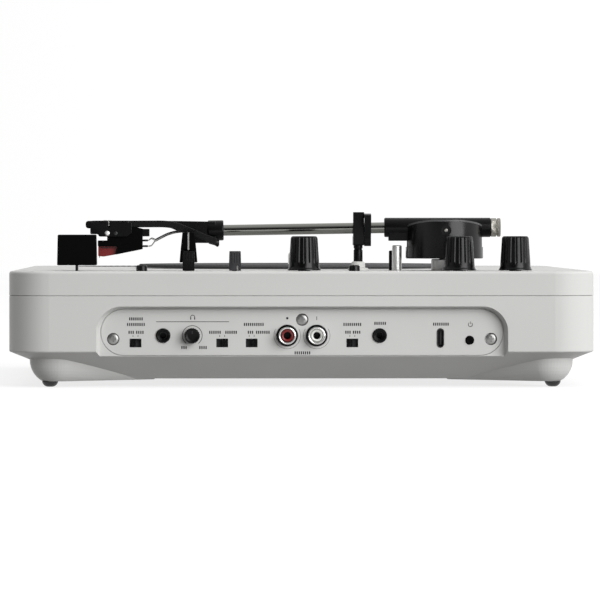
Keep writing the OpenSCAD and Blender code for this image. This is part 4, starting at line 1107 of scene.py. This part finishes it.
def make_small_caps():
    for node, paint in (("tone_slider_cap", "black_plastic"), ("speed_slider_cap", "charcoal_plastic")):
        low, high = box_of(node)
        x, y, _ = centre_of(node)
        bottom = DECK_Z + 0.2
        outline = mirrored([(2.93, bottom), (2.93, bottom + 3.4), (2.75, high.z)], y)
        block = prism(rounded(outline, 0.35), low.x, high.x, "X")
        cuts = [slab((face - 0.25, y - 1.9 + 1.25 * k, bottom + 3.6),
                     (face + 0.25, y - 1.55 + 1.25 * k, high.z - 0.9)) for face in (low.x, high.x)
                for k in range(4)]
        if node == "speed_slider_cap":
            cuts.append(slab((x + 1.6, y + 0.7, bottom - 1), (x + 6, y + 1.9, bottom + 2.6)))
            insert = slab((x + 1.5, y + 0.8, bottom + 0.05), (x + 2.6, y + 1.8, bottom + 2.5))
            piece("speed_slider_insert", insert, like=node, paint="print_silver", bevel=0.08)
        piece(node + "_grip", carved(block, *cuts), [node], paint=paint, bevel=0.2)
        stem = slab((x - 0.7, y - 1.6, low.z), (x + 0.7, y + 1.6, bottom + 1))
        piece(node + "_stem", stem, like=node, paint="nickel", bevel=0.08)


def make_buttons():
    for node in ("start_button", "select_button"):
        low, high = box_of(node)
        profile = [(0, low.z), (3.4, low.z), (3.4, low.z + 1.2), (2.68, low.z + 1.3), (2.68, high.z - 0.9),
                   (2.45, high.z - 0.4), (1.9, high.z - 0.05), (1.3, high.z - 0.1), (0, high.z - 0.3)]
        piece(node + "_cap", turned(profile, 0.2, foot_of(node), "Z", 48), [node])


def make_deck():
    for node in ("volume_knob", "bass_knob", "treble_knob"):
        make_knob(node)
    make_fader_caps()
    make_small_caps()
    make_buttons()


# ---------- platter ----------

NAP = 0.35          # felt pile standing above the mat's nominal top


def make_platter():
    low, high = box_of("platter")
    centre = foot_of("spindle")
    radius = high.x - centre.x
    rim = [(4.12, high.z), (radius - 1.3, high.z), (radius - 0.5, high.z - 0.25), (radius, high.z - 1.0),
           (radius, high.z - 2.6), (radius - 0.35, high.z - 2.8), (radius - 0.35, high.z - 3.2),
           (radius, high.z - 3.4), (radius, 50.5), (radius - 0.3, 50.2), (radius - 2.5, 50.2),
           (radius - 2.5, 54.9), (55, 54.9), (55, 50.2), (53, 50.2), (53, 54.9), (10, 54.9), (10, low.z),
           (4.12, low.z)]
    piece("platter_disc", closed_lathe(rounded(rim, 0.12, steps=2), centre, "Z", 160), ["platter"])
    low, high = box_of("slipmat")
    radius = high.x - centre.x
    top = high.z + NAP
    mat = [(4.1, low.z), (radius, low.z), (radius, top - 0.25), (radius - 0.3, top), (4.4, top),
           (4.1, top - 0.2)]
    piece("mat_disc", closed_lathe(rounded(mat, 0.15, steps=3), centre, "Z", 160), ["slipmat"])
    low, high = box_of("spindle")
    mat_top = box_of("slipmat")[1].z
    pin = [(0, low.z), (3, low.z), (3, 48), (4.05, 48), (4.05, mat_top + 0.2), (3.575, mat_top + 0.4),
           (3.575, high.z - 2.2), (3.3, high.z - 1.2), (2.5, high.z - 0.35), (1.2, high.z), (0, high.z)]
    piece("spindle_pin", turned(pin, 0.15, centre, "Z", 64), ["spindle"])


def make_feet():
    low, high = box_of("rubber_feet")
    profile = [(0, 0.0), (1.6, 0.03), (2.6, 0.45), (3.4, 1.25), (3.85, 2.1), (3.98, 2.65), (2.0, 2.72),
               (2.0, high.z), (0, high.z)]
    domes = [turned(profile, 0.5, Vector((x, y, 0)), "Z", 40)
             for x in (low.x + 4, high.x - 4) for y in (low.y + 4, high.y - 4)]
    piece("foot_domes", joined(*domes), ["rubber_feet"])


def paint_nodes():
    for name, node in frame["nodes"].items():
        node.data.materials.clear()
        node.data.materials.append(PAINTS[SLOT_OF[name]])


make_camera()
make_stage()
paint_nodes()
make_panel()
make_tonearm()
make_deck()
make_platter()
make_feet()
